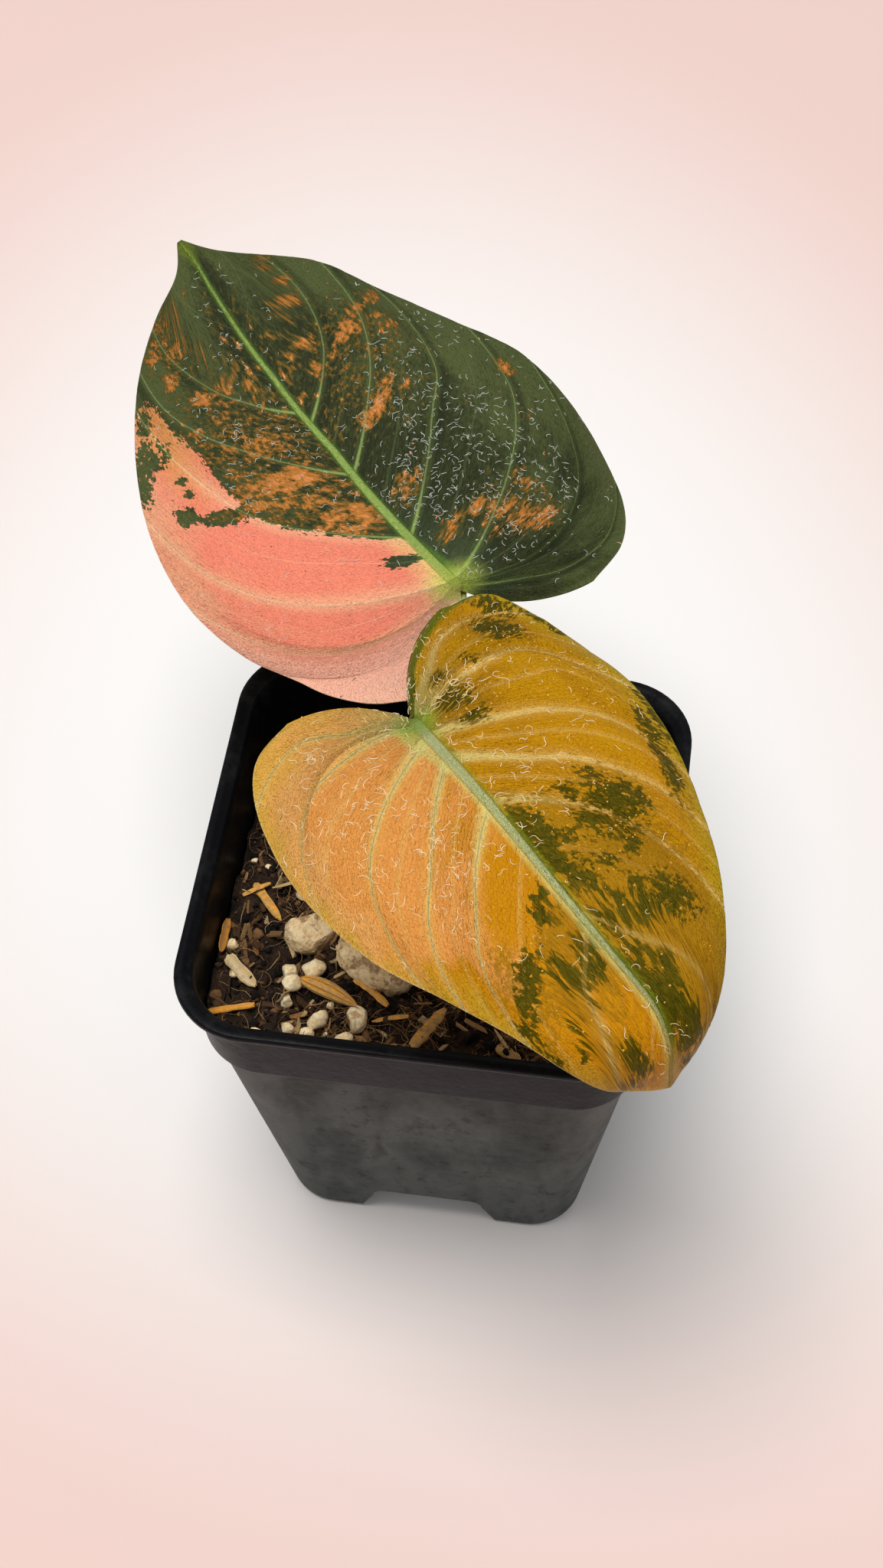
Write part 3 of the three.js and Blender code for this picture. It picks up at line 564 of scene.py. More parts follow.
def flat_point(leaf, side, row, share):
    """Flat points on one half of the blade. A row runs beside the veins, from the midrib at
    share 0 to the margin at share 1."""
    veins = leaf["veins"]
    reach = vein_value(veins, row, 0)
    start_y = reach * (leaf["length"] - 1.5) + 1.5 * reach**12
    fan = veins[2][1]
    turn = np.where(row < fan, (row / fan - 1) * np.pi / 2, 0)
    half = rib_half_width(leaf, start_y)
    start = np.stack([half * np.cos(turn), start_y + half * np.sin(turn)], -1)
    end = along_curve(smooth_curve(leaf[side]["margin"]), row)
    chord = end - start
    out = np.stack([chord[..., 1], -chord[..., 0]], -1)
    control = (start + chord * (0.5 + vein_value(veins, row, 3))[..., None]
               + out * vein_value(veins, row, 2)[..., None])
    share = share[..., None]
    return (1 - share) ** 2 * start + 2 * share * (1 - share) * control + share**2 * end


def beside_veins(leaf, vein):
    """The number of the next vein, and the rows of the veins on either side."""
    ends = np.array([vein[1] for vein in leaf["veins"]])
    following = np.clip(np.searchsorted(ends, vein), 1, len(ends) - 1)
    return following, ends[following - 1], ends[following]


def strayed(leaf, side, vein, share):
    """The row that the veins follow: each strays a little from its own row on the way out."""
    stray_at = np.zeros((len(leaf["veins"]), *share.shape))
    for i, strays in enumerate(leaf[side]["strays"], 1):
        path = smooth_curve(list(zip(STRAY_SHARES, strays)), 12)
        stray_at[i] = np.interp(share, path[:, 0], path[:, 1])
    following, low, high = beside_veins(leaf, vein)
    between = smoothstep(vein, low, high)
    before = np.take_along_axis(stray_at, (following - 1)[None], 0)[0]
    after = np.take_along_axis(stray_at, following[None], 0)[0]
    return vein + before * (1 - between) + after * between


def blade_lift(leaf, side, vein, share):
    """The blade swells between its veins, waves at the margin and turns down at the sinus."""
    _, low, high = beside_veins(leaf, vein)
    between = np.clip((vein - low) / (high - low), 0, 1)
    fade = smoothstep(share, 0, 0.25) * (1 - smoothstep(share, 0.7, 1))
    calm = 1 - smoothstep(vein, 0.86, 0.97)
    swell = np.sin(np.pi * between) ** 1.3 * fade * calm * np.minimum(1, (high - low) / 0.14)
    wave = share**3 * np.sin(vein * 17 + 1) * calm
    near_sinus = 1 - smoothstep(vein / np.where(low == 0, high * 0.6, np.maximum(low, 1e-9)), 0, 1)
    drop = leaf[side]["sinus_drop"] * near_sinus * smoothstep(share, 0, 0.2)
    return leaf["quilt"] * swell + leaf["wave"] * wave - drop


def streak_lean(lean, row):
    """How far the streaks lean across the rows: hardly at all next to the tip."""
    return lean * (1 - 0.8 * smoothstep(row, 0.86, 0.93))


def half_grid(leaf, side, vein, share):
    """What is known at each point of one half of the blade."""
    sign = -1 if side == "left" else 1
    ends = np.array([vein[1] for vein in leaf["veins"]])
    row = strayed(leaf, side, vein, share)
    flat = flat_point(leaf, side, row, share)
    spacing = np.linalg.norm(np.gradient(flat, vein[:, 0], axis=0), axis=-1)
    length = np.linalg.norm(np.diff(flat, axis=1), axis=-1).sum(axis=1)[:, None]
    margin = along_curve(smooth_curve(leaf[side]["margin"]), np.linspace(0, 1, 200))
    margin_length = np.linalg.norm(np.diff(margin, axis=0), axis=1).sum()
    aside = np.stack([(vein - end) * spacing for end in ends[1:-1]])
    nearest = np.abs(aside).argmin(axis=0)[None]
    middles = (ends[:-1] + ends[1:]) / 2
    between = np.min([np.abs(vein - middle) * spacing for middle in middles], axis=0)
    leant = row + streak_lean(leaf["lean"], row) * share * (1 + 0.9 * share)
    return {
        "x": sign * flat[..., 0], "y": flat[..., 1], "row": row, "share": share,
        "aside": np.take_along_axis(aside, nearest, 0)[0], "between": between,
        "along": share * length, "edge": (1 - share) * length, "side": np.full_like(row, sign),
        "across": leant * margin_length, "vein": vein * margin_length,
        "base_lift": blade_lift(leaf, side, vein, share),
    }


def blade_grid(leaf):
    """Everything known at each point of the blade's grid, row by row from sinus to tip."""
    ends = [vein[1] for vein in leaf["veins"]]
    rows = []
    for low, high in zip(ends[:-1], ends[1:]):
        step = np.arange(ROWS_A_VEIN) / ROWS_A_VEIN
        rows += list(low + (high - low) * (0.5 * step + 0.25 * (1 - np.cos(np.pi * step))))
    shares = np.linspace(0, 1, COLUMNS_A_SIDE + 1)
    shares = 0.55 * shares + 0.225 * (1 - np.cos(np.pi * shares))
    vein, share = np.meshgrid(np.array([*rows, 1.0]), shares, indexing="ij")
    halves = {side: half_grid(leaf, side, vein, share) for side in ("left", "right")}
    grid = {}
    spread = np.linspace(0, 1, RIB_COLUMNS + 2)[1:-1]
    for key, right in halves["right"].items():
        left = halves["left"][key][:, ::-1]
        rib = left[:, -1:] + (right[:, :1] - left[:, -1:]) * spread
        grid[key] = np.hstack([left, rib, right])
    half = rib_half_width(leaf, grid["y"])
    grid["rib_near"] = np.hypot(grid["x"], np.minimum(grid["y"], 0)) - half
    on_rib = np.abs(np.arange(grid["x"].shape[1]) - grid["x"].shape[1] // 2) <= RIB_COLUMNS // 2
    grid["aside"] = np.where(on_rib, FAR_FROM_VEIN, grid["aside"])
    near, between = np.abs(grid["aside"]), grid["between"]
    crown = np.clip(1 - (grid["x"] / half) ** 2, 0, 1) * (grid["rib_near"] < 0)
    fade = 1 - 0.6 * np.clip(grid["y"] / leaf["length"], 0, 1)
    groove = leaf["groove"] * (0.1 * bell(near, 0.3) - 0.13 * bell(near, 1.1))
    groove = groove - 0.05 * bell(between, 0.5) * smoothstep(grid["share"], 0.05, 0.3)
    place = np.stack([grid["x"], grid["y"]], -1)
    crumple = 0.12 * value_noise(place, 5, 4) + 0.06 * value_noise(place, 2.2, 5)
    grid["lift"] = (grid["base_lift"] + 0.3 * crown * fade
                    + groove * smoothstep(grid["rib_near"], 0, 1.5)
                    + crumple * smoothstep(grid["rib_near"], 0.5, 4))
    return grid


def grid_faces(shape):
    """Four-cornered faces of the grid. The midrib's columns meet in one point at the sinus."""
    rows, width = shape
    centre = width // 2
    reach = RIB_COLUMNS // 2 + 1
    index = np.arange(rows * width).reshape(shape)
    index[0, centre - reach:centre + reach + 1] = index[0, centre]
    quads = np.stack([index[:-1, :-1], index[:-1, 1:], index[1:, 1:], index[1:, :-1]], -1)
    quads = quads.reshape(-1, 4)
    border = np.concatenate([index[0, :], index[1:, -1], index[-1, -2::-1], index[-2:0:-1, 0]])
    return quads, border[np.concatenate([[True], np.diff(border) != 0])]


def grid_normals(place, quads):
    corners = place[quads]
    facing = np.cross(corners[:, 2] - corners[:, 0], corners[:, 3] - corners[:, 1])
    normals = np.zeros_like(place)
    for i in range(4):
        np.add.at(normals, quads[:, i], facing)
    return unit(normals)


def without_repeats(face):
    return tuple(dict.fromkeys(int(i) for i in face))


def make_blade(name, leaf, node, material, marks):
    """A closed blade between its two faces, with the facts that its colours are drawn from."""
    grid = blade_grid(leaf)
    shape = grid["x"].shape
    inwards = np.sin(np.pi * np.clip(grid["y"] / (0.6 * leaf["length"]), 0, 1))
    x = grid["x"] - leaf["bow"] * inwards * (1 - grid["share"]) ** 2
    surface = place_on_leaf(leaf, x, grid["y"], grid["lift"]).reshape(-1, 3)
    quads, border = grid_faces(shape)
    normals = grid_normals(surface, quads)
    half = EDGE_HALF + (BLADE_HALF - EDGE_HALF) * smoothstep(grid["edge"], 0, 1.6)
    slim = 1 - 0.7 * np.clip(grid["y"] / leaf["length"], 0, 1)
    under_rib = RIB_DEPTH * slim * bell(np.maximum(grid["rib_near"] + 0.5, 0), 0.7)
    under_vein = 0.3 * bell(grid["aside"], 0.5) * smoothstep(grid["edge"], 2, 12)
    depth = half + np.maximum(under_rib, under_vein)
    upper = surface + normals * half.reshape(-1, 1)
    lower = surface - normals * depth.reshape(-1, 1)
    count = len(surface)
    faces = [without_repeats(face) for face in quads]
    faces += [without_repeats(face[::-1] + count) for face in quads]
    for a, b in zip(border, np.roll(border, -1)):
        faces.append((b, a, a + count, b + count))
    facts = {key: np.tile(grid[key].ravel(), 2) for key in BLADE_FACTS}
    for mark, values in marks(grid).items():
        facts[mark] = np.tile(values.ravel(), 2)
    facts["under"] = np.repeat([0.0, 1.0], count)
    make_piece(name, np.concatenate([upper, lower]), faces, material, node, node, facts)
    grid["surface"] = surface.reshape(*shape, 3)
    grid["normal"] = normals.reshape(*shape, 3)
    grid["half"] = half
    return grid


# Leaf markings. A patch is a soft spot on one half: its middle as row and share, its reach in
# both, and how strongly it shows. Patches lean as the veins do.

LEFT, RIGHT = -1, 1


def patches(grid, halves, lean):
    total = np.full_like(grid["x"], -1.0)
    for side, spots in halves.items():
        for row, share, row_reach, share_reach, strength in spots:
            slope = streak_lean(lean, row) * (1 + 1.8 * share)
            drift = grid["row"] - row + slope * (grid["share"] - share)
            away = (drift / row_reach) ** 2 + ((grid["share"] - share) / share_reach) ** 2
            spot = 1.1 * strength - 0.5 * away
            total = np.where(grid["side"] * side > 0, np.maximum(total, spot), total)
    return np.clip(total, -1, 1.3)


UPPER_TINT = {
    RIGHT: [
        (0.885, 0.6, 0.009, 0.09, 1.0), (0.868, 0.24, 0.008, 0.05, 0.9), (0.88, 0.33, 0.006, 0.12, 0.6),
        (0.875, 0.78, 0.009, 0.07, 0.8), (0.89, 0.87, 0.014, 0.07, 0.5), (0.872, 0.97, 0.016, 0.05, 0.7),
        (0.811, 0.55, 0.012, 0.09, 1.1), (0.787, 0.7, 0.009, 0.06, 0.9), (0.778, 0.26, 0.01, 0.11, 1.1),
        (0.764, 0.39, 0.006, 0.06, 0.9), (0.835, 0.05, 0.014, 0.06, 0.5), (0.845, 0.33, 0.007, 0.09, 0.6),
        (0.757, 0.7, 0.01, 0.05, 0.8), (0.737, 0.7, 0.009, 0.06, 0.9), (0.745, 0.82, 0.01, 0.05, 0.9),
        (0.728, 0.87, 0.008, 0.05, 1.0), (0.738, 0.42, 0.008, 0.04, 0.8), (0.76, 0.54, 0.006, 0.03, 0.6),
        (0.713, 0.11, 0.014, 0.07, 0.75), (0.618, 0.09, 0.016, 0.05, 0.8),
        (0.592, 0.21, 0.012, 0.04, 0.95), (0.575, 0.23, 0.009, 0.03, 0.8),
        (0.557, 0.25, 0.008, 0.07, 0.85), (0.56, 0.4, 0.007, 0.05, 0.6), (0.54, 0.17, 0.02, 0.03, 0.55),
        (0.51, 0.28, 0.035, 0.06, 0.85), (0.465, 0.33, 0.02, 0.07, 1.1), (0.54, 0.375, 0.018, 0.03, 0.75),
        (0.5, 0.41, 0.024, 0.03, 0.5), (0.53, 0.86, 0.016, 0.035, 1.0), (0.54, 0.67, 0.02, 0.04, 0.3),
        (0.82, 0.4, 0.12, 0.5, 0.2), (0.53, 0.3, 0.08, 0.15, 0.2),
    ],
    LEFT: [
        (0.87, 0.4, 0.012, 0.08, 0.8), (0.893, 0.17, 0.008, 0.08, 0.75), (0.883, 0.34, 0.006, 0.1, 0.5),
        (0.83, 0.56, 0.012, 0.07, 1.05), (0.81, 0.77, 0.014, 0.05, 1.0), (0.86, 0.76, 0.02, 0.1, 0.75),
        (0.81, 0.93, 0.026, 0.06, 0.8), (0.797, 0.3, 0.012, 0.08, 1.0), (0.823, 0.22, 0.01, 0.05, 0.7),
        (0.767, 0.18, 0.013, 0.07, 1.25), (0.768, 0.48, 0.01, 0.05, 0.85),
        (0.765, 0.62, 0.012, 0.06, 0.65), (0.742, 0.3, 0.014, 0.1, 1.15), (0.728, 0.38, 0.012, 0.08, 0.9),
        (0.722, 0.08, 0.022, 0.1, 0.95), (0.725, 0.2, 0.014, 0.06, 0.85), (0.705, 0.4, 0.016, 0.1, 0.9),
        (0.7, 0.12, 0.012, 0.1, 1.0), (0.79, 0.35, 0.12, 0.5, 0.38), (0.88, 0.6, 0.05, 0.5, 0.15),
        (0.72, 0.3, 0.045, 0.4, 0.5), (0.86, 0.9, 0.07, 0.2, 0.4),
    ],
}
# A line across the left half, as (share, row): below it, the upper leaf has no green.
UPPER_BARE_EDGE = [
    (0, 0.684), (0.2, 0.682), (0.35, 0.677), (0.43, 0.679), (0.475, 0.697), (0.55, 0.715), (0.6, 0.73),
    (0.68, 0.738), (0.76, 0.732), (0.85, 0.745), (0.91, 0.738), (1, 0.69),
]
BARE_SOFTNESS = 0.012
UPPER_GREEN = {
    LEFT: [
        (0.624, 0.05, 0.01, 0.035, 1.1), (0.66, 0.54, 0.008, 0.1, 1.0), (0.617, 0.74, 0.009, 0.045, 1.1),
        (0.674, 0.72, 0.006, 0.03, 0.7), (0.659, 0.7, 0.006, 0.03, 0.7), (0.66, 0.875, 0.012, 0.05, 0.7),
        (0.64, 0.93, 0.03, 0.05, 0.7), (0.6, 0.965, 0.03, 0.04, 0.8), (0.57, 0.99, 0.02, 0.03, 0.6),
        (0.735, 0.96, 0.02, 0.05, 0.5), (0.7, 0.93, 0.03, 0.05, 0.4), (0.69, 0.82, 0.02, 0.05, 0.3),
    ],
}


def upper_marks(grid):
    """Where the upper leaf is tinted orange, and where it is bare of green."""
    limit = np.interp(grid["share"], *zip(*UPPER_BARE_EDGE))
    bare = np.where(grid["side"] < 0, np.clip((limit - grid["row"]) / BARE_SOFTNESS, -1, 1), -1)
    bare = np.minimum(bare, -patches(grid, UPPER_GREEN, 0.12))
    return {"tint": patches(grid, UPPER_TINT, 0.11), "bare": bare}


LOWER_GREEN = {
    RIGHT: [
        (0.921, 0.2, 0.007, 0.2, 0.9), (0.905, 0.37, 0.013, 0.08, 1.0), (0.888, 0.15, 0.012, 0.09, 0.9),
        (0.888, 0.39, 0.01, 0.08, 0.6), (0.935, 0.7, 0.012, 0.09, 1.2), (0.88, 0.65, 0.012, 0.06, 0.6),
        (0.862, 0.8, 0.012, 0.07, 0.65), (0.846, 0.49, 0.013, 0.08, 1.15),
        (0.822, 0.64, 0.012, 0.1, 1.05), (0.806, 0.73, 0.01, 0.05, 0.9), (0.767, 0.87, 0.018, 0.07, 1.0),
        (0.775, 0.97, 0.02, 0.04, 0.8), (0.915, 0.92, 0.016, 0.07, 0.8),
    ],
    LEFT: [
        (0.86, 0.06, 0.035, 0.07, 1.25), (0.887, 0.13, 0.014, 0.09, 1.1), (0.905, 0.27, 0.013, 0.13, 0.8),
        (0.918, 0.14, 0.008, 0.1, 0.7), (0.888, 0.4, 0.012, 0.09, 0.85), (0.955, 0.1, 0.014, 0.5, 1.3),
        (0.948, 0.6, 0.014, 0.25, 1.2), (0.93, 0.3, 0.01, 0.3, 0.6), (0.96, 0.85, 0.02, 0.15, 0.8),
        (0.845, 0.6, 0.022, 0.16, 1.0), (0.865, 0.44, 0.014, 0.07, 0.8), (0.85, 0.33, 0.014, 0.07, 0.6),
        (0.835, 0.2, 0.012, 0.09, 0.6), (0.79, 0.37, 0.022, 0.09, 0.9), (0.77, 0.49, 0.013, 0.08, 0.95),
        (0.8, 0.47, 0.016, 0.05, 0.9), (0.727, 0.5, 0.03, 0.1, 1.15), (0.695, 0.6, 0.022, 0.06, 1.1),
        (0.69, 0.43, 0.014, 0.05, 0.7), (0.75, 0.3, 0.016, 0.05, 0.7), (0.55, 0.87, 0.055, 0.045, 1.0),
        (0.475, 0.9, 0.035, 0.04, 0.9), (0.58, 0.14, 0.018, 0.06, 0.85), (0.475, 0.13, 0.045, 0.06, 0.85),
        (0.52, 0.15, 0.02, 0.04, 0.5), (0.22, 0.67, 0.045, 0.075, 1.15), (0.265, 0.62, 0.02, 0.05, 0.9),
        (0.12, 0.88, 0.035, 0.08, 0.85), (0.36, 0.34, 0.05, 0.04, 0.6), (0.31, 0.19, 0.06, 0.04, 0.7),
        (0.1, 0.14, 0.03, 0.08, 0.8), (0.17, 0.98, 0.05, 0.04, 0.8), (0.42, 0.98, 0.05, 0.03, 0.8),
    ],
}
LOWER_OLIVE = {
    RIGHT: [
        (0.91, 0.25, 0.03, 0.35, 0.9), (0.83, 0.6, 0.05, 0.2, 0.8), (0.93, 0.75, 0.04, 0.2, 0.8),
        (0.77, 0.9, 0.04, 0.1, 0.8),
    ],
    LEFT: [
        (0.9, 0.35, 0.1, 0.6, 1.3), (0.8, 0.4, 0.05, 0.35, 1.0), (0.72, 0.5, 0.05, 0.2, 0.9),
        (0.5, 0.12, 0.09, 0.12, 0.9), (0.22, 0.65, 0.08, 0.15, 0.9), (0.55, 0.88, 0.1, 0.07, 0.8),
    ],
}


def lower_marks(grid):
    """Where the lower leaf keeps its green, and where it is brownish olive."""
    return {"green": patches(grid, LOWER_GREEN, 0.1), "olive": patches(grid, LOWER_OLIVE, 0.1)}


# Leaf colours

HALVES_APART = 9  # how far apart in the noise the two halves of a blade lie


class Blade(Shader):
    """A leaf's shader, with what is known at each point and textures that follow the veins."""

    def __init__(self, name, long, fine):
        super().__init__(name)
        self.along, self.across, self.vein = map(self.fact, ("along", "across", "vein"))
        self.share, self.row, self.y = map(self.fact, ("share", "row", "y"))
        self.aside, self.between, self.edge = map(self.fact, ("aside", "between", "edge"))
        self.rib, self.side, self.under = map(self.fact, ("rib_near", "side", "under"))
        self.near = abs(self.aside)
        self.from_root = self.root(self.rib * self.rib + self.y * self.y)
        blocks = self.followed(1.05, 1.7)
        self.streak = self.swing(self.followed(long, fine), 1, 4, 0.6, 0.3)
        self.speck = self.swing(self.followed(0.62, 1.2), 1, 3, 0.6)
        self.block = self.cells(blocks) - 0.5
        self.block_border = self.borders(blocks).step(0, 0.14)
        self.cloud = self.swing(self.followed(0.06, 0.09), 1, 2)
        fibres = self.vector(self.along * 0.5, self.vein * 2.6, self.side * HALVES_APART)
        self.fibre = self.swing(fibres, 1, 2)
        self.line = self.math("SINE", self.vein * 6.4 + self.along * 0.15)
        self.grain = self.noise(self.place(), 3200, 2, 0.6)
        # Ragged noise about 0 that breaks a soft edge into streaks and small cells.
        self.flecks = self.streak * 1.5 + self.speck * 1.4 + self.block * 0.55

    def followed(self, along, across):
        """A place for textures, stretched along the veins and across them."""
        return self.vector(self.along * along, self.across * across, self.side * HALVES_APART)

    def relief(self):
        lines = (self.line + self.fibre * 2) * 0.5
        return (lines, 0.05), (self.block_border, 0.06), (self.speck, 0.25), (self.grain, 0.08)


def upper_green(leaf, base):
    """Dark velvety green, lighter outwards partly as painted sheen, with a painted shadow on one side of
    each vein.
    """
    outwards = leaf.share + leaf.cloud * 0.8 + leaf.speck * 0.5
    return leaf.paint(
        # The lighter outer green is partly the leaf's own colour and partly painted velvet sheen.
        leaf.mix(outwards.step(0.1, 1), (38, 42, 21), (80, 88, 48)),
        (leaf.fibre.step(-0.1, 0.5) * 0.3, (92, 104, 66)),
        # Painted shade along one side of each vein, where the blade dips.
        (abs(leaf.aside + 1.9).within(0.3, 2) * 0.45, (28, 34, 20)),
        (base * 0.4, (84, 102, 70)),
        (leaf.between.within(0.05, 0.3) * 0.3, (98, 112, 74)),
        (leaf.near.within(0.5, 1.8) * 0.3, (92, 106, 56)),
    )


def upper_mottle(leaf, green):
    """Brown and orange flecks, as many small cells that lost some of their green."""
    amount = leaf.fact("tint") + leaf.flecks
    return leaf.paint(
        green,
        (amount.step(0.08, 0.4) * 0.75, (80, 74, 30)),
        (amount.step(0.4, 0.62) * 0.85, (126, 88, 34)),
        (amount.step(0.78, 0.94), (180, 114, 48)),
        (amount.step(1.3, 1.55), (214, 134, 72)),
    )


def upper_pink(leaf):
    """Salmon pink, paler along the veins and towards the margin, and paler on the lower lobe as painted
    light.
    """
    outer = (leaf.share + leaf.cloud * 0.5).step(0.5, 1.05)
    golden = leaf.row.step(0.62, 0.7) * leaf.share.step(0.5, 0.8)
    return leaf.paint(
        leaf.mix(outer, (244, 134, 108), (242, 166, 126)),
        (leaf.fibre.step(-0.3, 0.4) * 0.25, (248, 156, 128)),
        (leaf.near.within(0.4, 4.2) * 0.6, (246, 184, 142)),
        # Painted light: the lower lobe is made paler to make up for the shade that its turned-down shape
        # gets.
        (leaf.row.step(0.4, 0.2) * 0.85, (254, 188, 164)),
        (leaf.row.step(0.16, 0) * 0.5, (244, 196, 168)),
        (golden * 0.8, (224, 146, 74)),
        (leaf.along.step(5.5, 0.5) * 0.6, (246, 204, 132)),
        (leaf.near.within(0.1, 0.55) * 0.45, (246, 208, 160)),
    )


def upper_blade_material():
    leaf = Blade("leaf_upper", 0.24, 0.62)
    base, junction = leaf.along.step(13, 0), leaf.y.step(15, 0)
    green = upper_mottle(leaf, upper_green(leaf, base * leaf.y.step(30, 0)))
    vein = leaf.mix(base, (122, 138, 88), (150, 178, 92))
    green = leaf.mix(leaf.near.within(0.05, base * 0.4 + 0.3) * 0.75, green, vein)
    is_bare = (leaf.fact("bare") + leaf.flecks).step(-0.05, 0.06)
    lime = leaf.mix(junction, (164, 194, 92), (192, 212, 90))
    lime = leaf.mix(leaf.grain.step(0.4, 0.65) * 0.4, lime, (204, 222, 146))
    halo = leaf.mix(is_bare, (88, 128, 40), (238, 204, 122))
    rim = leaf.mix(is_bare, (96, 108, 52), (246, 214, 176))
    colour = leaf.paint(
        leaf.mix(is_bare, green, upper_pink(leaf)),
        ((leaf.rib - junction * 1.6).within(-0.4, 0.7) * 0.6, halo),
        (leaf.rib.within(-0.5, 0.05), lime),
        (leaf.row.step(0.975, 0.995) * 0.5, (136, 150, 44)),
        (leaf.from_root.within(0.5, 6.5) * 0.75, (198, 212, 92)),
        (leaf.edge.within(0.05, 0.5) * 0.45, rim),
        (leaf.under * 0.7, leaf.mix(is_bare, (112, 122, 84), (226, 168, 132))),
    )
    return leaf.finish(colour, leaf.grain * 0.18 + 0.46, 0.22, leaf.relief(), (225, 235, 190))


def lower_ground(leaf, left):
    """Peach on one half and gold on the other, with both turning amber towards the tip."""
    soft = leaf.cloud * 0.25
    row, share = leaf.row + soft, leaf.share
    peach = leaf.paint(
        leaf.mix(row.step(0.02, 0.3), (220, 166, 72), (228, 164, 92)),
        (row.step(0.36, 0.5) * 0.8, (224, 146, 68)),
        ((row + share.step(0.55, 1) * 0.22).step(0.72, 0.84), (196, 130, 2)),
        ((share + soft).step(0.8, 1.02) * 0.7, (192, 158, 40)),
    )
    gold = leaf.paint(
        leaf.mix(row.step(0.4, 0.7), (192, 138, 0), (188, 130, 2)),
        (leaf.streak.step(0, 0.4) * 0.5, (206, 144, 24)),
        (leaf.cloud.step(0, 0.3) * 0.5, (166, 114, 0)),
        (share.step(0.8, 1) * 0.7, (168, 146, 22)),
    )
    lined = (leaf.line + leaf.fibre).step(0.3, 1.3) * 0.3
    return leaf.mix(lined, leaf.mix(left, peach, gold), leaf.mix(left, (196, 112, 44), (150, 98, 4)))


def lower_veins(leaf, colour, left):
    """Each vein is a wide pale band with a thin grey-green line."""
    base = leaf.along.step(17, 0)
    wobbly = leaf.near + leaf.fibre * 0.35
    strength = leaf.along.step(38, 14) * 0.32 + 0.5
    thread = leaf.near.within(0.03, 0.2) * ((1 - left) * 0.45 + 0.25)
    return leaf.paint(
        colour,
        (wobbly.within(0.1, base * 0.9 + 0.95) * strength,
         leaf.mix(base, (226, 192, 112), (214, 204, 126))),
        (leaf.near.within(0.35, 2.6) * 0.3, (224, 178, 92)),
        (leaf.between.within(0.1, 0.9) * 0.22, (228, 186, 104)),
        (thread, (128, 140, 108)),
    )


def lower_mottle(leaf, colour):
    """Olive clouds with dark green cells in them."""
    olive = leaf.fact("olive") + leaf.flecks * 0.8
    rusty = olive.step(0.2, 0.7) * (leaf.speck + leaf.streak).step(0.15, 0.45)
    amount = leaf.fact("green") + leaf.flecks + leaf.block * 0.5
    veined = 1 - leaf.near.within(0.2, 0.8) * 0.5
    return leaf.paint(
        colour,
        (olive.step(0.1, 0.8) * 0.7, (148, 106, 12)),
        (rusty * 0.25, (178, 112, 16)),
        (amount.step(0.26, 0.42) * veined * 0.8, (100, 76, 2)),
        (amount.step(0.58, 0.68) * veined * 0.95,
         leaf.mix(leaf.speck.step(-0.2, 0.25), (56, 56, 0), (84, 74, 2))),
    )


def lower_rib(leaf, colour, left):
    """A pale fuzzy midrib, green at its root and along the gold half."""
    junction = leaf.y.step(13, 1)
    green_side = left * (leaf.rib - junction * 0.5).step(1, 0.2)
    pale_side = (1 - left) * (leaf.rib - junction * 2.4).within(0, 1.4)
    ribbed = leaf.paint(
        leaf.mix(leaf.fibre.step(-0.3, 0.4), (180, 190, 112), (216, 220, 158)),
        (leaf.grain.step(0.45, 0.62) * 0.4, (232, 232, 190)),
        (leaf.y.step(56, 76) * 0.6, (198, 170, 80)),
    )
    return leaf.paint(
        colour,
        (green_side * 0.4, (128, 148, 30)),
        (pale_side * 0.6, (210, 206, 120)),
        (leaf.rib.within(-0.55, 0), ribbed),
        (leaf.from_root.within(0.3, 4.5) * 0.7, (150, 184, 60)),
    )


def lower_blade_material():
    leaf = Blade("leaf_lower", 0.28, 0.6)
    left = leaf.side.step(0.2, -0.2)
    root = leaf.along.step(11, 1) * leaf.row.step(0.46, 0.36)
    colour = leaf.mix(root * 0.6, lower_ground(leaf, left),
                      leaf.mix(left, (214, 196, 118), (178, 172, 40)))
    colour = lower_rib(leaf, lower_mottle(leaf, lower_veins(leaf, colour, left)), left)
    # A dark green strip along the turned-down margin by the sinus on the left half: partly the leaf's own
    # green, partly painted shade of the fold.
    turned = left * (leaf.share * -0.05 + 0.12 - leaf.row).step(-0.012, 0.012)
    colour = leaf.paint(
        colour,
        (leaf.row.step(0.968, 0.988) * 0.6, (190, 148, 40)),
        (turned * 0.9, (74, 98, 14)),
        (leaf.edge.within(0.05, 0.55) * 0.6, leaf.mix(left, (232, 200, 128), (156, 150, 24))),
        (leaf.under * 0.7, (196, 150, 82)),
    )
    return leaf.finish(colour, leaf.grain * 0.2 + 0.32, 0.24, leaf.relief(), (255, 220, 120))


# Curls and dots on the blades. A density goes from 0 to 1.

def clustered(grid, low, high):
    """Uneven patches from 0 to 1."""
    return smoothstep(value_noise(np.stack([grid["x"], grid["y"]], -1), 9, 7), low, high)


def upper_curl_density(grid):
    row = grid["row"]
    right = 0.1 + smoothstep(row, 0.3, 0.5) * (1 - smoothstep(row, 0.72, 0.86))
    left = 0.1 + 0.35 * smoothstep(row, 0.65, 0.72)
    sides = (grid["side"] > 0) * right + (grid["side"] < 0) * left
    inner = 1 - 0.85 * smoothstep(grid["share"], 0.4, 0.75)
    return sides * inner * (0.3 + clustered(grid, -0.6, 0.4))


def lower_curl_density(grid):
    inner = 1 - 0.9 * smoothstep(grid["share"], 0.4, 0.75)
    return inner * (1 - 0.85 * smoothstep(grid["y"], 18, 40)) * (0.15 + clustered(grid, -0.4, 0.5))


def lower_dot_density(grid):
    return (1 - 0.6 * smoothstep(grid["share"], 0.5, 1)) * (1 - 0.8 * smoothstep(grid["y"], 25, 50))


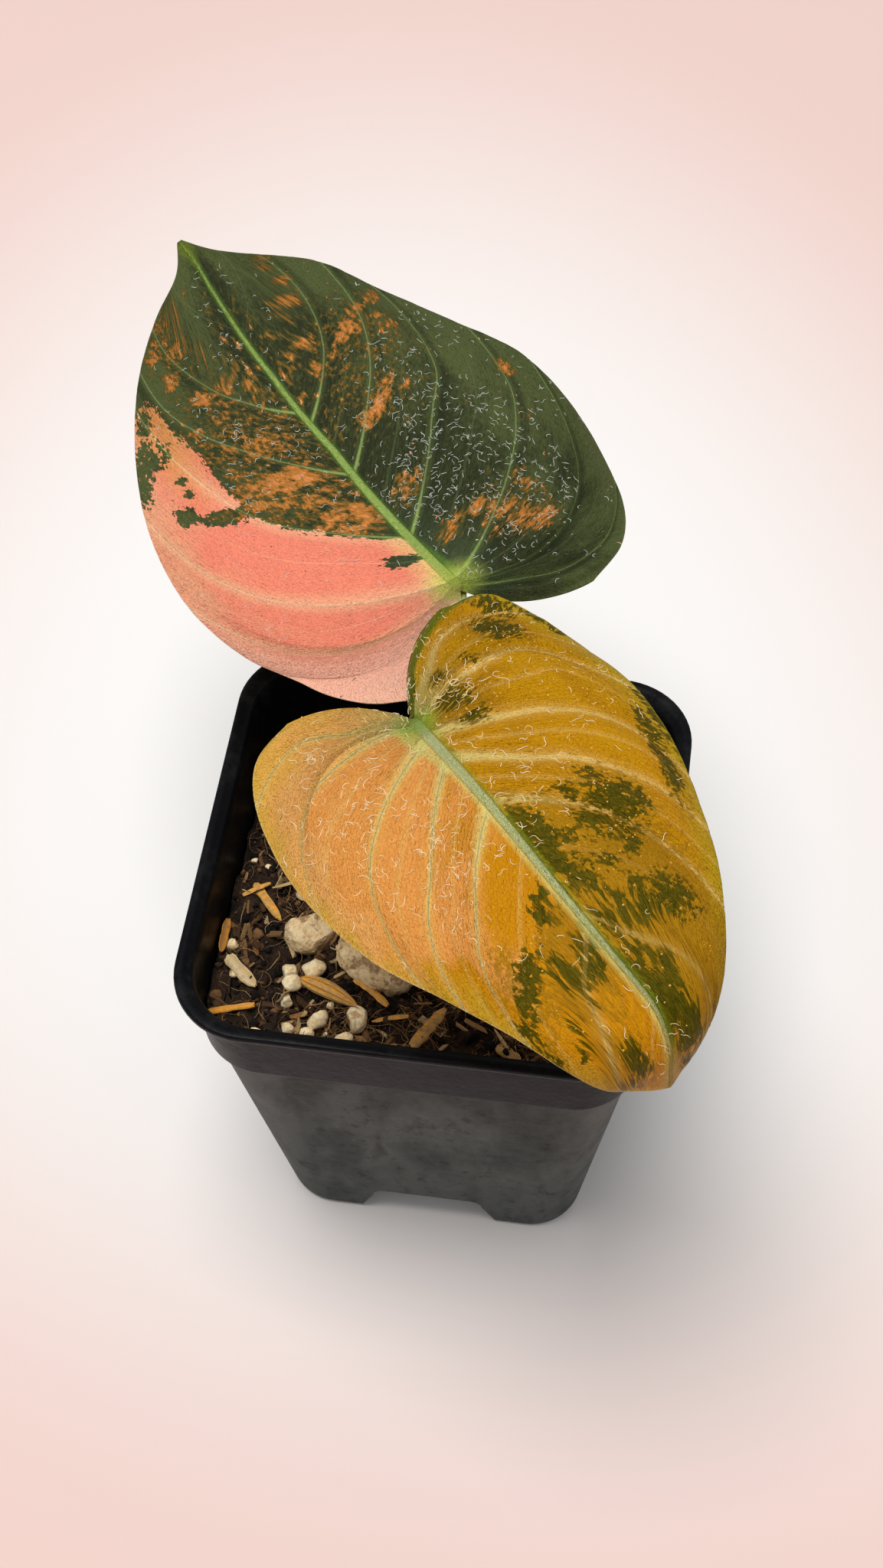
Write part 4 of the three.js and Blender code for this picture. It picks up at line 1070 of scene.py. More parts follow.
def anchors(grid, density, count, random):
    """Random points of the grid, spread by area times density, each with its own axes."""
    surface = grid["surface"]
    rows, columns = np.gradient(surface, axis=0), np.gradient(surface, axis=1)
    area = np.linalg.norm(rows, axis=-1) * np.linalg.norm(columns, axis=-1)
    weight = (area * density(grid) * (grid["rib_near"] > 0.3) * (grid["edge"] > 1.5)).ravel()
    spots = random.choice(weight.size, count, p=weight / weight.sum())
    normal = grid["normal"].reshape(-1, 3)[spots]
    aside = unit(columns.reshape(-1, 3)[spots])
    top = surface.reshape(-1, 3)[spots] + normal * grid["half"].reshape(-1, 1)[spots]
    return zip(top, aside, np.cross(normal, aside), normal)


def curl_path(random, reach):
    """A flat wandering line: C shapes, hooks and S shapes."""
    steps = int(random.integers(8, 14))
    length = reach * random.uniform(0.35, 1.3)
    heading = random.uniform(0, 2 * np.pi)
    turn = random.choice([-1, 1]) * random.uniform(0.6, 4.2)
    hook = random.random() < 0.35
    back = random.random() < 0.35
    path, headings = [np.zeros(2)], [heading]
    for step in range(steps):
        share = step / steps
        bend = turn * (2.2 * share if hook else 1) * (-1 if back and share > 0.5 else 1)
        heading += bend / steps + random.normal(0, 0.14)
        path.append(path[-1] + length / steps * np.array([math.cos(heading), math.sin(heading)]))
        headings.append(heading)
    return np.array(path) - np.mean(path, axis=0), headings


def curl(random, origin, a, b, n, reach, thickness):
    """A fine curled strand on the blade, partly a real raised mark and partly a painted glint."""
    path, headings = curl_path(random, reach)
    thick = thickness * random.uniform(0.7, 1.25)
    rings = []
    for step, (here, heading) in enumerate(zip(path, headings)):
        share = min(max(step / (len(path) - 1), 0.05), 0.95)
        radius = thick * (0.35 + 0.65 * math.sin(math.pi * share) ** 0.5)
        beside = np.cross(n, a * math.cos(heading) + b * math.sin(heading))
        centre = origin + a * here[0] + b * here[1] + n * thick * 0.7
        rings.append(ring_about(centre, radius, turns(4, 0.5), beside, n))
    return loft(rings)


def dot(random, origin, a, b, n, smallest, largest):
    """A low round gland that stands out of the blade."""
    size = random.uniform(smallest, largest)
    profile = ((1, -0.25), (0.88, 0.14), (0.5, 0.34), (0.12, 0.4))
    return loft([ring_about(origin + size * height * n, size * width, turns(8), a, b)
                 for width, height in profile])


def strew(name, grid, slot, form, sizes, density, colours, count, seed):
    """Many small forms on a blade, of a smooth and slightly glossy material."""
    shade = Shader(name)
    tone = shade.noise(shade.place(), 1500, 2)
    material = shade.finish(shade.mix(tone, *colours), tone * 0.15 + 0.22, 0.6)
    random = np.random.default_rng(seed)
    items = [form(random, *place, *sizes) for place in anchors(grid, density, count, random)]
    make_piece(name, *join(items), material, slot)


# Stem and petioles

def rod(route, steps, sides, radius_at):
    """A round rod along a curve, with the frames carried along without twist."""
    curve = along_curve(smooth_curve(route), np.linspace(0, 1, steps + 1))
    tangents = unit(np.gradient(curve, axis=0))
    normal = unit(np.cross(tangents[0], (0.3, 1, 0.2)))
    angle = turns(sides)
    rings = []
    for step, (centre, tangent) in enumerate(zip(curve, tangents)):
        normal = unit(normal - tangent * (normal @ tangent))
        other = np.cross(tangent, normal)
        rings.append(ring_about(centre, radius_at(step / steps, angle), angle, normal, other))
    return rings


def stem_radius(share, angle):
    swell = sum(NODE_SWELL * bell(share - at, 0.035) for at in (0.52, 0.76))
    scar = sum(-0.25 * bell(share - at, 0.012) for at in (0.555, 0.795))
    ribs = 0.06 * np.sin(angle * 9 + share * 4)
    return STEM_RADIUS - 1.2 * share**2 + swell + scar + ribs


def petiole_radius(share, angle):
    base = 0.75 * (1 - smoothstep(share, 0, 0.25))
    swelling = 0.3 * smoothstep(share, 0.84, 0.95)
    groove = -0.14 * bell(np.mod(angle - 1.2, 2 * np.pi) - np.pi, 0.35)
    ribs = 0.035 * np.sin(angle * 11 + share * 5)
    return PETIOLE_RADIUS - 0.25 * share + base + swelling + groove + ribs


def stalk_material():
    shade = Shader("stalk")
    x, y, z = shade.axes()
    streaks = shade.swing(shade.vector(x * 900, y * 900, z * 90))
    flecks = shade.cells(shade.vector(x * 1100, y * 1100, z * 380))
    green = shade.paint(
        shade.mix(streaks.step(-0.4, 0.4), (112, 132, 52), (150, 168, 78)),
        (flecks.step(0.9, 0.96), (196, 202, 134)),
        (z.step(0.1, 0.088) * 0.6, (104, 84, 44)),
        (z.step(0.128, 0.146) * 0.5, (168, 190, 92)),
    )
    bumps = (flecks.step(0.86, 0.95), 0.1), (shade.noise(shade.place(), 1400), 0.12)
    return shade.finish(green, streaks * 0.1 + 0.42, 0.45, bumps)


def pressed_under(rings, leaf):
    """Rings with what would pass the underside of a leaf's midrib pressed flat below it."""
    out = leaf_axes(leaf)[2]
    seat = np.array(leaf["base"]) - out * PETIOLE_SEAT
    return [ring - np.maximum((ring - seat) @ out, 0)[:, None] * out for ring in rings]


def make_stalks():
    material = stalk_material()
    stalks = {"stem": rod(STEM_ROUTE, 90, 36, stem_radius)}
    for node, route, leaf in (("petiole_upper", UPPER_PETIOLE, UPPER_LEAF),
                              ("petiole_lower", LOWER_PETIOLE, LOWER_LEAF)):
        stalks[node] = pressed_under(rod(route, 90, 28, petiole_radius), leaf)
    for node, rings in stalks.items():
        make_piece(node + "_skin", *loft(rings), material, "stalk", node, sharp=60)


# Pot

def square_ring(half, corner, z, corner_steps=14, side_steps=1):
    """A square with rounded corners, level at height z."""
    arcs = []
    for quadrant in range(4):
        middle = np.sign(np.cos([(quadrant + 0.5) * np.pi / 2, (quadrant - 0.5) * np.pi / 2]))
        turn = (quadrant + np.linspace(0, 1, corner_steps + 1)) * np.pi / 2
        arcs.append(middle * (half - corner) + corner * np.stack([np.cos(turn), np.sin(turn)], -1))
    ring = []
    for arc, following in zip(arcs, arcs[1:] + arcs[:1]):
        ring += [arc, np.linspace(arc[-1], following[0], side_steps, endpoint=False)[1:]]
    ring = np.vstack(ring)
    return np.column_stack([ring, np.full(len(ring), float(z))])


def rounded(profile, turn_at, radius):
    """Rings of a profile of (half width, corner, z), with some of its corners rounded off."""
    share = np.linspace(0, 1, 6)[:, None]
    rows = []
    for i, point in enumerate(np.array(profile, float)):
        if i not in turn_at:
            rows.append(point)
            continue
        ends = []
        for beside in (profile[i - 1], profile[i + 1]):
            way = np.array(beside) - point
            run = math.hypot(way[0], way[2])
            ends.append(point + way * min(radius, 0.45 * run) / run)
        rows += [*((1 - share) ** 2 * ends[0] + 2 * share * (1 - share) * point + share**2 * ends[1])]
    return [square_ring(*row) for row in rows]


LIP_FOOT = POT_HEIGHT - LIP_THICKNESS
OUTER_PROFILE = [
    (BASE_HALF - 1, BASE_CORNER - 0.8, 0), (BASE_HALF, BASE_CORNER, FLOOR),
    (BODY_TOP_HALF, BODY_TOP_CORNER, COLLAR_FOOT - 0.5),
    (COLLAR_FOOT_HALF, COLLAR_FOOT_CORNER, COLLAR_FOOT + 0.5),
    (COLLAR_TOP_HALF, COLLAR_TOP_CORNER, LIP_FOOT), (RIM_HALF - 0.2, RIM_CORNER - 0.2, LIP_FOOT + 0.1),
    (RIM_HALF, RIM_CORNER, LIP_FOOT + 0.9), (RIM_HALF - 0.15, RIM_CORNER, POT_HEIGHT),
    (COLLAR_TOP_HALF, COLLAR_TOP_CORNER, POT_HEIGHT),
]


def cavity_profile(inset, top):
    """The inner side of the pot, or with an inset, what fills the pot up to it."""
    shrink = WALL + inset
    return [
        (BASE_HALF - shrink, BASE_CORNER - shrink, FLOOR + inset),
        (BODY_TOP_HALF - shrink, BODY_TOP_CORNER - shrink, COLLAR_FOOT - 0.2 + inset),
        (COLLAR_FOOT_HALF - shrink, COLLAR_FOOT_CORNER - shrink, COLLAR_FOOT + 0.8 + inset),
        (COLLAR_TOP_HALF - shrink, COLLAR_TOP_CORNER - shrink, LIP_FOOT - 0.6),
        (COLLAR_TOP_HALF - shrink + 0.5, COLLAR_TOP_CORNER - shrink + 0.4, LIP_FOOT + 0.9),
        (COLLAR_TOP_HALF + 0.6 - inset, COLLAR_TOP_CORNER + 0.4 - inset, top - 0.5),
        (COLLAR_TOP_HALF + 1.4 - inset, COLLAR_TOP_CORNER + 0.4 - inset, top),
    ]


def under_channel(grow):
    """The raised cross under the pot that leaves four feet, as two closed bars."""
    half, height, bend = CHANNEL_HALF + grow, CHANNEL_HEIGHT + grow, 3 + grow
    outline = [(-half - 3, -2), (half + 3, -2)]
    for centre, first in ((half - 1 - bend, 0), (1 + bend - half, 90)):
        for angle in np.radians(first + np.linspace(0, 90, 9)):
            outline.append((centre + bend * math.cos(angle), height - bend + bend * math.sin(angle)))
    ends = (RIM_HALF, -RIM_HALF)
    along_y = [np.array([(x, end, z) for x, z in outline]) for end in ends]
    along_x = [np.array([(-end, x, z) for x, z in outline]) for end in ends]
    return loft(along_y), loft(along_x)


def drain_hole(x, y):
    angle = turns(32)
    return loft([ring_about((x, y, CHANNEL_HEIGHT + step), DRAIN_RADIUS, angle, (1, 0, 0), (0, 1, 0))
                 for step in (-5, 6)])


def solid(points, faces):
    """A scratch object for cutting, with its faces turned outwards."""
    mesh = bpy.data.meshes.new("scratch")
    mesh.from_pydata(np.asarray(points, float).tolist(), [], faces)
    shaped = bmesh.new()
    shaped.from_mesh(mesh)
    bmesh.ops.recalc_face_normals(shaped, faces=shaped.faces)
    shaped.to_mesh(mesh)
    shaped.free()
    return linked("scratch", mesh)


def carved(skin, *tools):
    """A closed skin, as points and faces, with other closed skins cut out of it."""
    body = solid(*skin)
    for tool_skin in tools:
        tool = solid(*tool_skin)
        modifier = body.modifiers.new("carve", "BOOLEAN")
        modifier.operation = "DIFFERENCE"
        modifier.solver = "MANIFOLD"
        modifier.object = tool
        bpy.context.view_layer.update()
        shaped = body.evaluated_get(bpy.context.evaluated_depsgraph_get())
        mesh = bpy.data.meshes.new_from_object(shaped)
        body.modifiers.clear()
        body.data = mesh
        bpy.data.objects.remove(tool)
    points = np.array([vertex.co for vertex in body.data.vertices], float)
    faces = [tuple(polygon.vertices) for polygon in body.data.polygons]
    bpy.data.objects.remove(body)
    return points, faces


def pot_material():
    """Black plastic: nearly clean on the rim and the collar, dusty and smudged below."""
    shade = Shader("pot_plastic")
    place = shade.place()
    x, y, z = shade.axes()
    height = z * (1 / MM)
    broad = shade.swing(place, 30, 3, 0.6)
    smear = shade.swing(shade.vector(x * 120, y * 120, z * 42), 1, 4, 0.62)
    fine = shade.noise(place, 900, 4, 0.65)
    spotty = shade.noise(place, 300, 4, 0.7)
    below = height.step(COLLAR_FOOT + 0.6, COLLAR_FOOT - 1)
    grime = (smear + broad * 1.2 + height.step(40, 0) * 0.25).step(0.3, 0.6)
    corner = abs(x - CENTRE.x) * abs(y - CENTRE.y) * 1000
    dusty = shade.paint(
        shade.mix((smear + broad).step(-0.5, 0.5), (58, 62, 61), (90, 95, 93)),
        (spotty.step(0.4, 0.7) * 0.35, (88, 92, 88)),
        (spotty.step(0.42, 0.34) * 0.5, (30, 30, 30)),
        (grime * 0.6, (38, 34, 32)),
        ((corner + smear * 0.25).step(0.85, 1.35) * 0.4, (118, 120, 114)),
    )
    film = (smear * 0.6 + spotty).step(0.45, 0.8) * (1 - below) * 0.07
    worn = (spotty + broad * 0.4).step(0.62, 0.7) * fine.step(0.45, 0.6) * below
    foot = height.step(7, 0.3) * fine.step(0.4, 0.62)
    colour = shade.paint(
        shade.mix(fine, (7, 8, 11), (15, 16, 20)),
        (below * 0.9 + film, dusty),
        (worn * 0.3, (118, 120, 114)),
        (foot * 0.35, (98, 92, 82)),
    )
    bumps = (shade.noise(place, 160), 0.2), (fine, 0.06)
    return shade.finish(colour, below * 0.22 + fine * 0.16 + 0.3, 0.08, bumps)


def make_pot():
    outside = loft(rounded(OUTER_PROFILE, turn_at=(1, 3, 6, 7), radius=0.8))
    cavity = loft(rounded(cavity_profile(0, POT_HEIGHT + 0.3), turn_at=(1, 3, 4), radius=1.2))
    holes = [(0, 0), (DRAIN_OFFSET, 0), (-DRAIN_OFFSET, 0), (0, DRAIN_OFFSET), (0, -DRAIN_OFFSET)]
    shell = carved(outside, carved(cavity, *under_channel(WALL)), *under_channel(0),
                   *(drain_hole(x, y) for x, y in holes))
    make_piece("pot_shell", *shell, pot_material(), "pot_plastic", "pot", sharp=38)


# Potting mix. Each kind of litter has its number of pieces and the seed of its random draws.

CRUMBS, CHIPS, FIBRES, HUSKS, PERLITE = (2600, 61), (900, 62), (1700, 63), (44, 64), (40, 65)
TUFTS = 26
MIX_EDGE = 80  # the height at which the mix meets the wall
CORNER_AT, CORNER_RADIUS = 29, 11.5
STONES = {
    "pumice_small": {"at": (-23.4, -14.2), "size": (4.6, 4.2, 3.9), "turn": 20, "seed": 3},
    "pumice_large": {"at": (-9.8, -19), "size": (8, 5.6, 4.4), "turn": -24, "seed": 8},
}
# Grains that stand out in the photo: x, y and radius.
SEEN_PERLITE = [
    (-21.3, -21.9, 2.1), (-26, -22.5, 1.7), (-24.8, -25.8, 1.8), (-25.4, -29.2, 1.7), (-18.8, -32.6, 2.1),
    (-11.7, -31.7, 2.2), (-24.3, -35, 1.7), (-20.4, -35.5, 1.4), (-13.5, -35.8, 1.7), (-38, -17.6, 1.3),
]


def soil_height(x, y):
    """The mix's surface without its crumbs: higher round the stem and lower at the back."""
    mound = 2.5 * np.exp(-((x - STEM_X) ** 2 + (y - STEM_Y) ** 2) / 160)
    hollow = 5 * smoothstep(y - 0.5 * x, 4, 48)
    swell = np.sin(0.41 * x + 1.3) * np.sin(0.37 * y + 0.4)
    crumb = 0.6 * np.sin(0.83 * x - 0.52 * y + 2) + 0.45 * np.sin(1.31 * x + 1.13 * y)
    return SOIL_LEVEL + mound - hollow + 0.8 * swell + crumb


def bed_height(x, y):
    """The mix's surface with its crumbs."""
    place = np.stack([x, y], -1)
    lumps = sum(size * value_noise(place, scale, seed)
                for size, scale, seed in ((0.7, 3.1, 21), (0.55, 1.5, 22), (0.3, 0.8, 23)))
    return soil_height(x, y) + lumps - 0.5


def wall_half(z):
    """The inner half width of the pot, less a hair's gap, at a height."""
    profile = cavity_profile(GAP, POT_HEIGHT)
    return np.interp(z, [row[2] for row in profile], [row[0] for row in profile])


MIX_HALF = wall_half(MIX_EDGE)


def soil_material():
    shade = Shader("potting_mix")
    place = shade.place()
    broad = shade.noise(place, 260, 4, 0.6)
    fine = shade.noise(place, 1500, 4, 0.7)
    colour = shade.mix(broad.step(0.35, 0.65), (18, 13, 10), (52, 37, 24))
    colour = shade.mix(fine.step(0.5, 0.75) * 0.6, colour, (104, 78, 50))
    return shade.finish(colour, fine * 0.15 + 0.8, 0.25, [(fine, 0.5)])


def make_bed():
    """The bulk of the mix: a crumbly top within the pot's walls, down to its floor."""
    count, corner_steps, side_steps = 96, 12, 34
    corner = COLLAR_FOOT_CORNER - WALL - GAP
    outline = square_ring(MIX_HALF, corner, 0, corner_steps, side_steps)[:, :2]
    rings = []
    for step in range(count + 1):
        share = 0.012 + 0.988 * step / count
        flat = outline * share
        z = bed_height(flat[:, 0], flat[:, 1])
        squeeze = 1 + (wall_half(z) / MIX_HALF - 1) * share
        rings.append(np.column_stack([flat * squeeze[:, None], z]))
    low, shoulder = rings[-1].copy(), COLLAR_FOOT + 1.2
    low[:, :2] *= wall_half(shoulder) / wall_half(low[:, 2])[:, None]
    low[:, 2] = shoulder
    rings.append(low)
    for row in reversed(cavity_profile(GAP, POT_HEIGHT)[:2]):
        rings.append(square_ring(*row, corner_steps, side_steps))
    bed = carved(loft(rings), *under_channel(WALL + GAP))
    make_piece("soil_bed", *bed, soil_material(), "potting_mix", "soil", sharp=80)


def turned(points, random, level=False):
    """Points turned by a random rotation, about the vertical only where level is set."""
    spin = Matrix.Rotation(random.uniform(0, 2 * math.pi), 3, "Z")
    if not level:
        axis = Vector(random.normal(size=3)).normalized()
        spin = Matrix.Rotation(random.uniform(0, math.pi), 3, axis) @ spin
    return np.asarray(points) @ np.array(spin).T


def ball(detail):
    """An icosphere of radius 1."""
    shaped = bmesh.new()
    bmesh.ops.create_icosphere(shaped, subdivisions=detail, radius=1)
    points = np.array([vertex.co for vertex in shaped.verts])
    faces = [tuple(vertex.index for vertex in face.verts) for face in shaped.faces]
    shaped.free()
    return points, faces


def chunk(points, random, cuts, depths):
    """A ball with flat faces knocked off it."""
    shape = points.copy()
    for _ in range(cuts):
        facing = unit(random.normal(size=3))
        over = np.maximum(shape @ facing - random.uniform(*depths), 0)
        shape = shape - over[:, None] * facing
    return shape


def in_pot(random, reach):
    """A random place on the mix that is clear of the wall, the stem and the stones."""
    while True:
        x, y = random.uniform(-1, 1, 2) * (MIX_HALF - reach)
        corner = math.hypot(max(abs(x) - CORNER_AT, 0), max(abs(y) - CORNER_AT, 0))
        from_wall = corner < CORNER_RADIUS - reach
        from_stem = math.hypot(x - STEM_X, y - STEM_Y) > STEM_RADIUS + 0.6
        from_stones = all(math.dist((x, y), stone["at"]) > 0.72 * stone["size"][0]
                          for stone in STONES.values())
        if from_wall and from_stem and from_stones:
            return x, y


def litter_material(name, colours, scale, rough, depth):
    """Colours that run from one item's tone to the next, each with its own grain."""
    shade = Shader(name)
    grain = shade.noise(shade.place(), scale, 4, 0.65)
    mixed = shade.fact("tone") + (grain - 0.5) * 0.5
    coats = []
    for i, following in enumerate(colours[1:], 1):
        edge = i / len(colours)
        coats.append((mixed.step(edge - 0.1, edge + 0.1), following))
    coats.append((grain.step(0.4, 0.65) * 0.35, colours[0]))
    return shade.finish(shade.paint(colours[0], *coats), grain * 0.15 + rough, 0.25, [(grain, depth)])


def litter(name, items, material, sharp=None):
    """One piece from (points, faces, tone) items, with the tones as a fact."""
    points, faces = join([item[:2] for item in items])
    tones = np.concatenate([np.broadcast_to(item[2], len(item[0])) for item in items])
    make_piece(name, points, faces, material, "potting_mix", facts={"tone": tones}, sharp=sharp)


def make_crumbs():
    count, seed = CRUMBS
    random = np.random.default_rng(seed)
    points, faces = ball(2)
    items = []
    for _ in range(count):
        x, y = in_pot(random, 0.8)
        size = 0.3 + 1.1 * random.random() ** 3
        shape = chunk(points, random, 5, (0.45, 0.8)) * random.uniform(0.6, 1.3, 3)
        shape = turned(shape + 0.12 * value_noise(points, 0.5, len(items))[:, None], random) * size
        items.append((shape + (x, y, bed_height(x, y) + 0.2 * size), faces, random.random() ** 1.5))
    colours = (19, 13, 10), (44, 31, 20), (78, 54, 32), (128, 94, 58)
    litter("soil_crumbs", items, litter_material("peat", colours, 1800, 0.82, 0.3), 40)


def make_chips():
    """Bits of coco husk and bark: flat angular slivers."""
    count, seed = CHIPS
    random = np.random.default_rng(seed)
    outline = ((-1, -1), (0, -1), (1, -0.8), (1, 0.8), (0, 1), (-1, 1))
    corners, faces = loft([np.array([(x, y, z) for x, y in outline], float) for z in (-1, 1)])
    items = []
    for _ in range(count):
        length = 0.6 + 2.2 * random.random() ** 2.2
        x, y = in_pot(random, length)
        size = np.array([length, length * random.uniform(0.1, 0.38), 0.1 + 0.15 * random.random()])
        shape = corners * size * (1 + 0.25 * random.uniform(-1, 1, corners.shape))
        shape[:, 2] += 0.25 * length * (shape[:, 0] / length) ** 2 * random.uniform(-1, 1)
        tilt = Matrix.Rotation(random.normal(0, 0.4), 3, "Y")
        tilt = tilt @ Matrix.Rotation(random.normal(0, 0.6), 3, "X")
        shape = turned(shape @ np.array(tilt).T, random, level=True)
        items.append((shape + (x, y, bed_height(x, y) + 0.4), faces, random.random()))
    colours = (34, 23, 15), (74, 52, 31), (124, 92, 54), (176, 138, 88), (200, 172, 124)
    litter("soil_chips", items, litter_material("coco_chip", colours, 1300, 0.7, 0.25), 40)


def strand(random, x, y, length, radius):
    """A thin fibre that wanders over the mix."""
    steps, waviness = 9, 0.24
    heading = random.uniform(0, 2 * math.pi)
    bend = random.normal(0, waviness)
    lift = random.uniform(0.2, 1.3)
    reach = MIX_HALF - 0.8
    rings = []
    for step in range(steps + 1):
        share = step / steps
        z = bed_height(x, y) * 0.5 + soil_height(x, y) * 0.5 + lift * (1 + math.sin(3 * share + heading))
        way = np.array([math.cos(heading), math.sin(heading)])
        width = radius * (0.4 + 0.6 * math.sin(math.pi * min(max(share, 0.08), 0.92)))
        rings.append(ring_about((x, y, z), width, turns(3) + 0.5, (-way[1], way[0], 0), (0, 0, 1)))
        bend += random.normal(0, waviness * 0.6)
        heading += bend * length / steps
        x, y = np.clip(np.array([x, y]) + way * length / steps, -reach, reach)
    return loft(rings)


def make_fibres():
    count, seed = FIBRES
    random = np.random.default_rng(seed)
    items = []
    tufts = [in_pot(random, 4) for _ in range(TUFTS)]
    for index in range(count):
        x, y = in_pot(random, 1.5)
        if index % 2:
            x, y = np.array(tufts[index % TUFTS]) + random.normal(0, 2.2, 2)
        length = 2.5 + 8 * random.random() ** 1.5
        radius = 0.03 + 0.07 * random.random() ** 3
        items.append((*strand(random, x, y, length, radius), random.random()))
    colours = (86, 58, 36), (140, 102, 64), (178, 138, 90), (210, 172, 120)
    litter("soil_fibres", items, litter_material("coco_fibre", colours, 900, 0.6, 0.1))


def husk_shape(length, width, random):
    """A slim ridged boat, pointed at both ends."""
    steps, angle = 14, turns(20)
    bow = random.uniform(0.02, 0.07) * length
    ridge = 1 + 0.1 * np.cos(angle * 7)
    rings = []
    for step in range(steps + 1):
        share = 0.015 + 0.97 * step / steps
        body = width * math.sin(math.pi * share) ** 0.5 * (1 - 0.35 * share) * ridge
        x = np.full(len(angle), (share - 0.5) * length)
        z = 0.34 * body * np.sin(angle) + bow * math.sin(math.pi * share)
        rings.append(np.column_stack([x, 0.5 * body * np.cos(angle), z]))
    return (*loft(rings), np.tile(0.3 * np.cos(angle * 7), steps + 1))


def straw_shape(length, width, random):
    """A flat splinter with ragged sides and torn ends."""
    steps, angle = 9, turns(8)
    bow, twist = random.uniform(-0.05, 0.08) * length, random.uniform(-0.5, 0.5)
    end = random.uniform(0.15, 0.8, 2)
    rings = []
    for step in range(steps + 1):
        share = step / steps
        body = min(1, end[0] + 4 * share, end[1] + 4 * (1 - share)) * random.uniform(0.85, 1.1)
        y = width / 2 * body * np.cos(angle)
        z = width * 0.14 * np.sin(angle) + 0.04 * width * np.cos(angle * 3)
        turn = twist * (share - 0.5)
        y, z = y * math.cos(turn) - z * math.sin(turn), y * math.sin(turn) + z * math.cos(turn)
        torn = 0.1 * width * np.sin(angle * 3) * (step in (0, steps))
        rings.append(np.column_stack([(share - 0.5) * length + torn, y,
                                      z + bow * math.sin(math.pi * share)]))
    return (*loft(rings), np.tile(0.12 * np.cos(angle * 3), steps + 1))


def laid(shape, random, x0, y0, x1, y1, lift, tone):
    """An item laid on the mix from one point to another."""
    points, faces, stripe = shape
    slope = math.atan2(soil_height(x1, y1) - soil_height(x0, y0), math.hypot(x1 - x0, y1 - y0))
    roll = Matrix.Rotation(random.uniform(-0.5, 0.5), 3, "X")
    turn = Matrix.Rotation(math.atan2(y1 - y0, x1 - x0), 3, "Z") @ Matrix.Rotation(-slope, 3, "Y") @ roll
    x, y = (x0 + x1) / 2, (y0 + y1) / 2
    top = max(soil_height(x, y), (soil_height(x0, y0) + soil_height(x1, y1)) / 2)
    return points @ np.array(turn).T + (x, y, top + lift), faces, tone + stripe


# Each seen piece: its form, tone and width, and the two ends (x0, y0, x1, y1).
SEEN_HUSKS = [
    (husk_shape, 0.56, 3.9, -23.6, -24.3, -11.8, -29.3), (straw_shape, 0.85, 2.6, -37.8, -22, -31.6, -27.1),
    (straw_shape, 0.6, 1.8, -13.3, -23.7, -6.3, -28.2), (straw_shape, 0.65, 2.2, -0.6, -36.3, 4.4, -27.5),
    (straw_shape, 0.35, 1.6, -39.6, -20.3, -39.6, -13), (straw_shape, 0.6, 1.7, -36.3, -3.6, -29.4, -12.3),
    (straw_shape, 0.7, 2.2, 15, -34.2, 19.3, -36.1), (straw_shape, 0.5, 1.2, -40, -33, -31, -31),
    (straw_shape, 0.6, 0.9, -38, -7, -33, -4), (straw_shape, 0.6, 1.0, -9, -31, -2, -30),
]


def make_husks():
    count, seed = HUSKS
    random = np.random.default_rng(seed)
    items = []
    for form, tone, width, *ends in SEEN_HUSKS:
        length = math.dist(ends[:2], ends[2:])
        items.append(laid(form(length, width, random), random, *ends, 0.9, tone))
    for index in range(count):
        form = husk_shape if index % 6 == 0 else straw_shape
        x, y = in_pot(random, 5)
        turn = random.uniform(0, 2 * math.pi)
        reach = random.uniform(1.0, 3.2)
        dx, dy = math.cos(turn) * reach, math.sin(turn) * reach
        shape = form(2 * reach, random.uniform(0.5, 1.2), random)
        ends = (x - dx, y - dy, x + dx, y + dy)
        items.append(laid(shape, random, *ends, random.uniform(0.1, 1.1), random.random()))
    colours = (104, 64, 26), (160, 112, 54), (240, 164, 50), (204, 168, 104), (214, 194, 150)
    litter("soil_husks", items, litter_material("husk", colours, 1100, 0.5, 0.15), 60)


def perlite_material():
    shade = Shader("perlite")
    place = shade.place()
    pits = shade.noise(place, 1500, 3, 0.6)
    colour = shade.mix(pits.step(0.35, 0.6), (246, 210, 146), (255, 243, 206))
    colour = shade.mix(shade.noise(place, 420).step(0.55, 0.7) * 0.7, colour, (176, 138, 88))
    return shade.finish(colour, pits * 0.2 + 0.72, 0.25, [(pits, 0.2)])


def make_perlite():
    count, seed = PERLITE
    random = np.random.default_rng(seed)
    points, faces = ball(3)
    grains = list(SEEN_PERLITE)
    for _ in range(count):
        x, y = in_pot(random, 2)
        grains.append((x, y, 0.4 + 1.0 * random.random() ** 1.5))
    items = []
    for index, (x, y, radius) in enumerate(grains):
        shape = chunk(points, random, 6, (0.55, 0.9)) * random.uniform(0.75, 1.1, 3)
        bumps = (0.1 * value_noise(points, 0.6, 80 + index)
                 + 0.05 * value_noise(points, 0.25, 180 + index))
        shape = turned(shape * (1 + bumps[:, None]), random) * radius * 1.1
        items.append((shape + (x, y, soil_height(x, y) + 0.45 * radius), faces, random.random()))
    litter("soil_perlite", items, perlite_material())


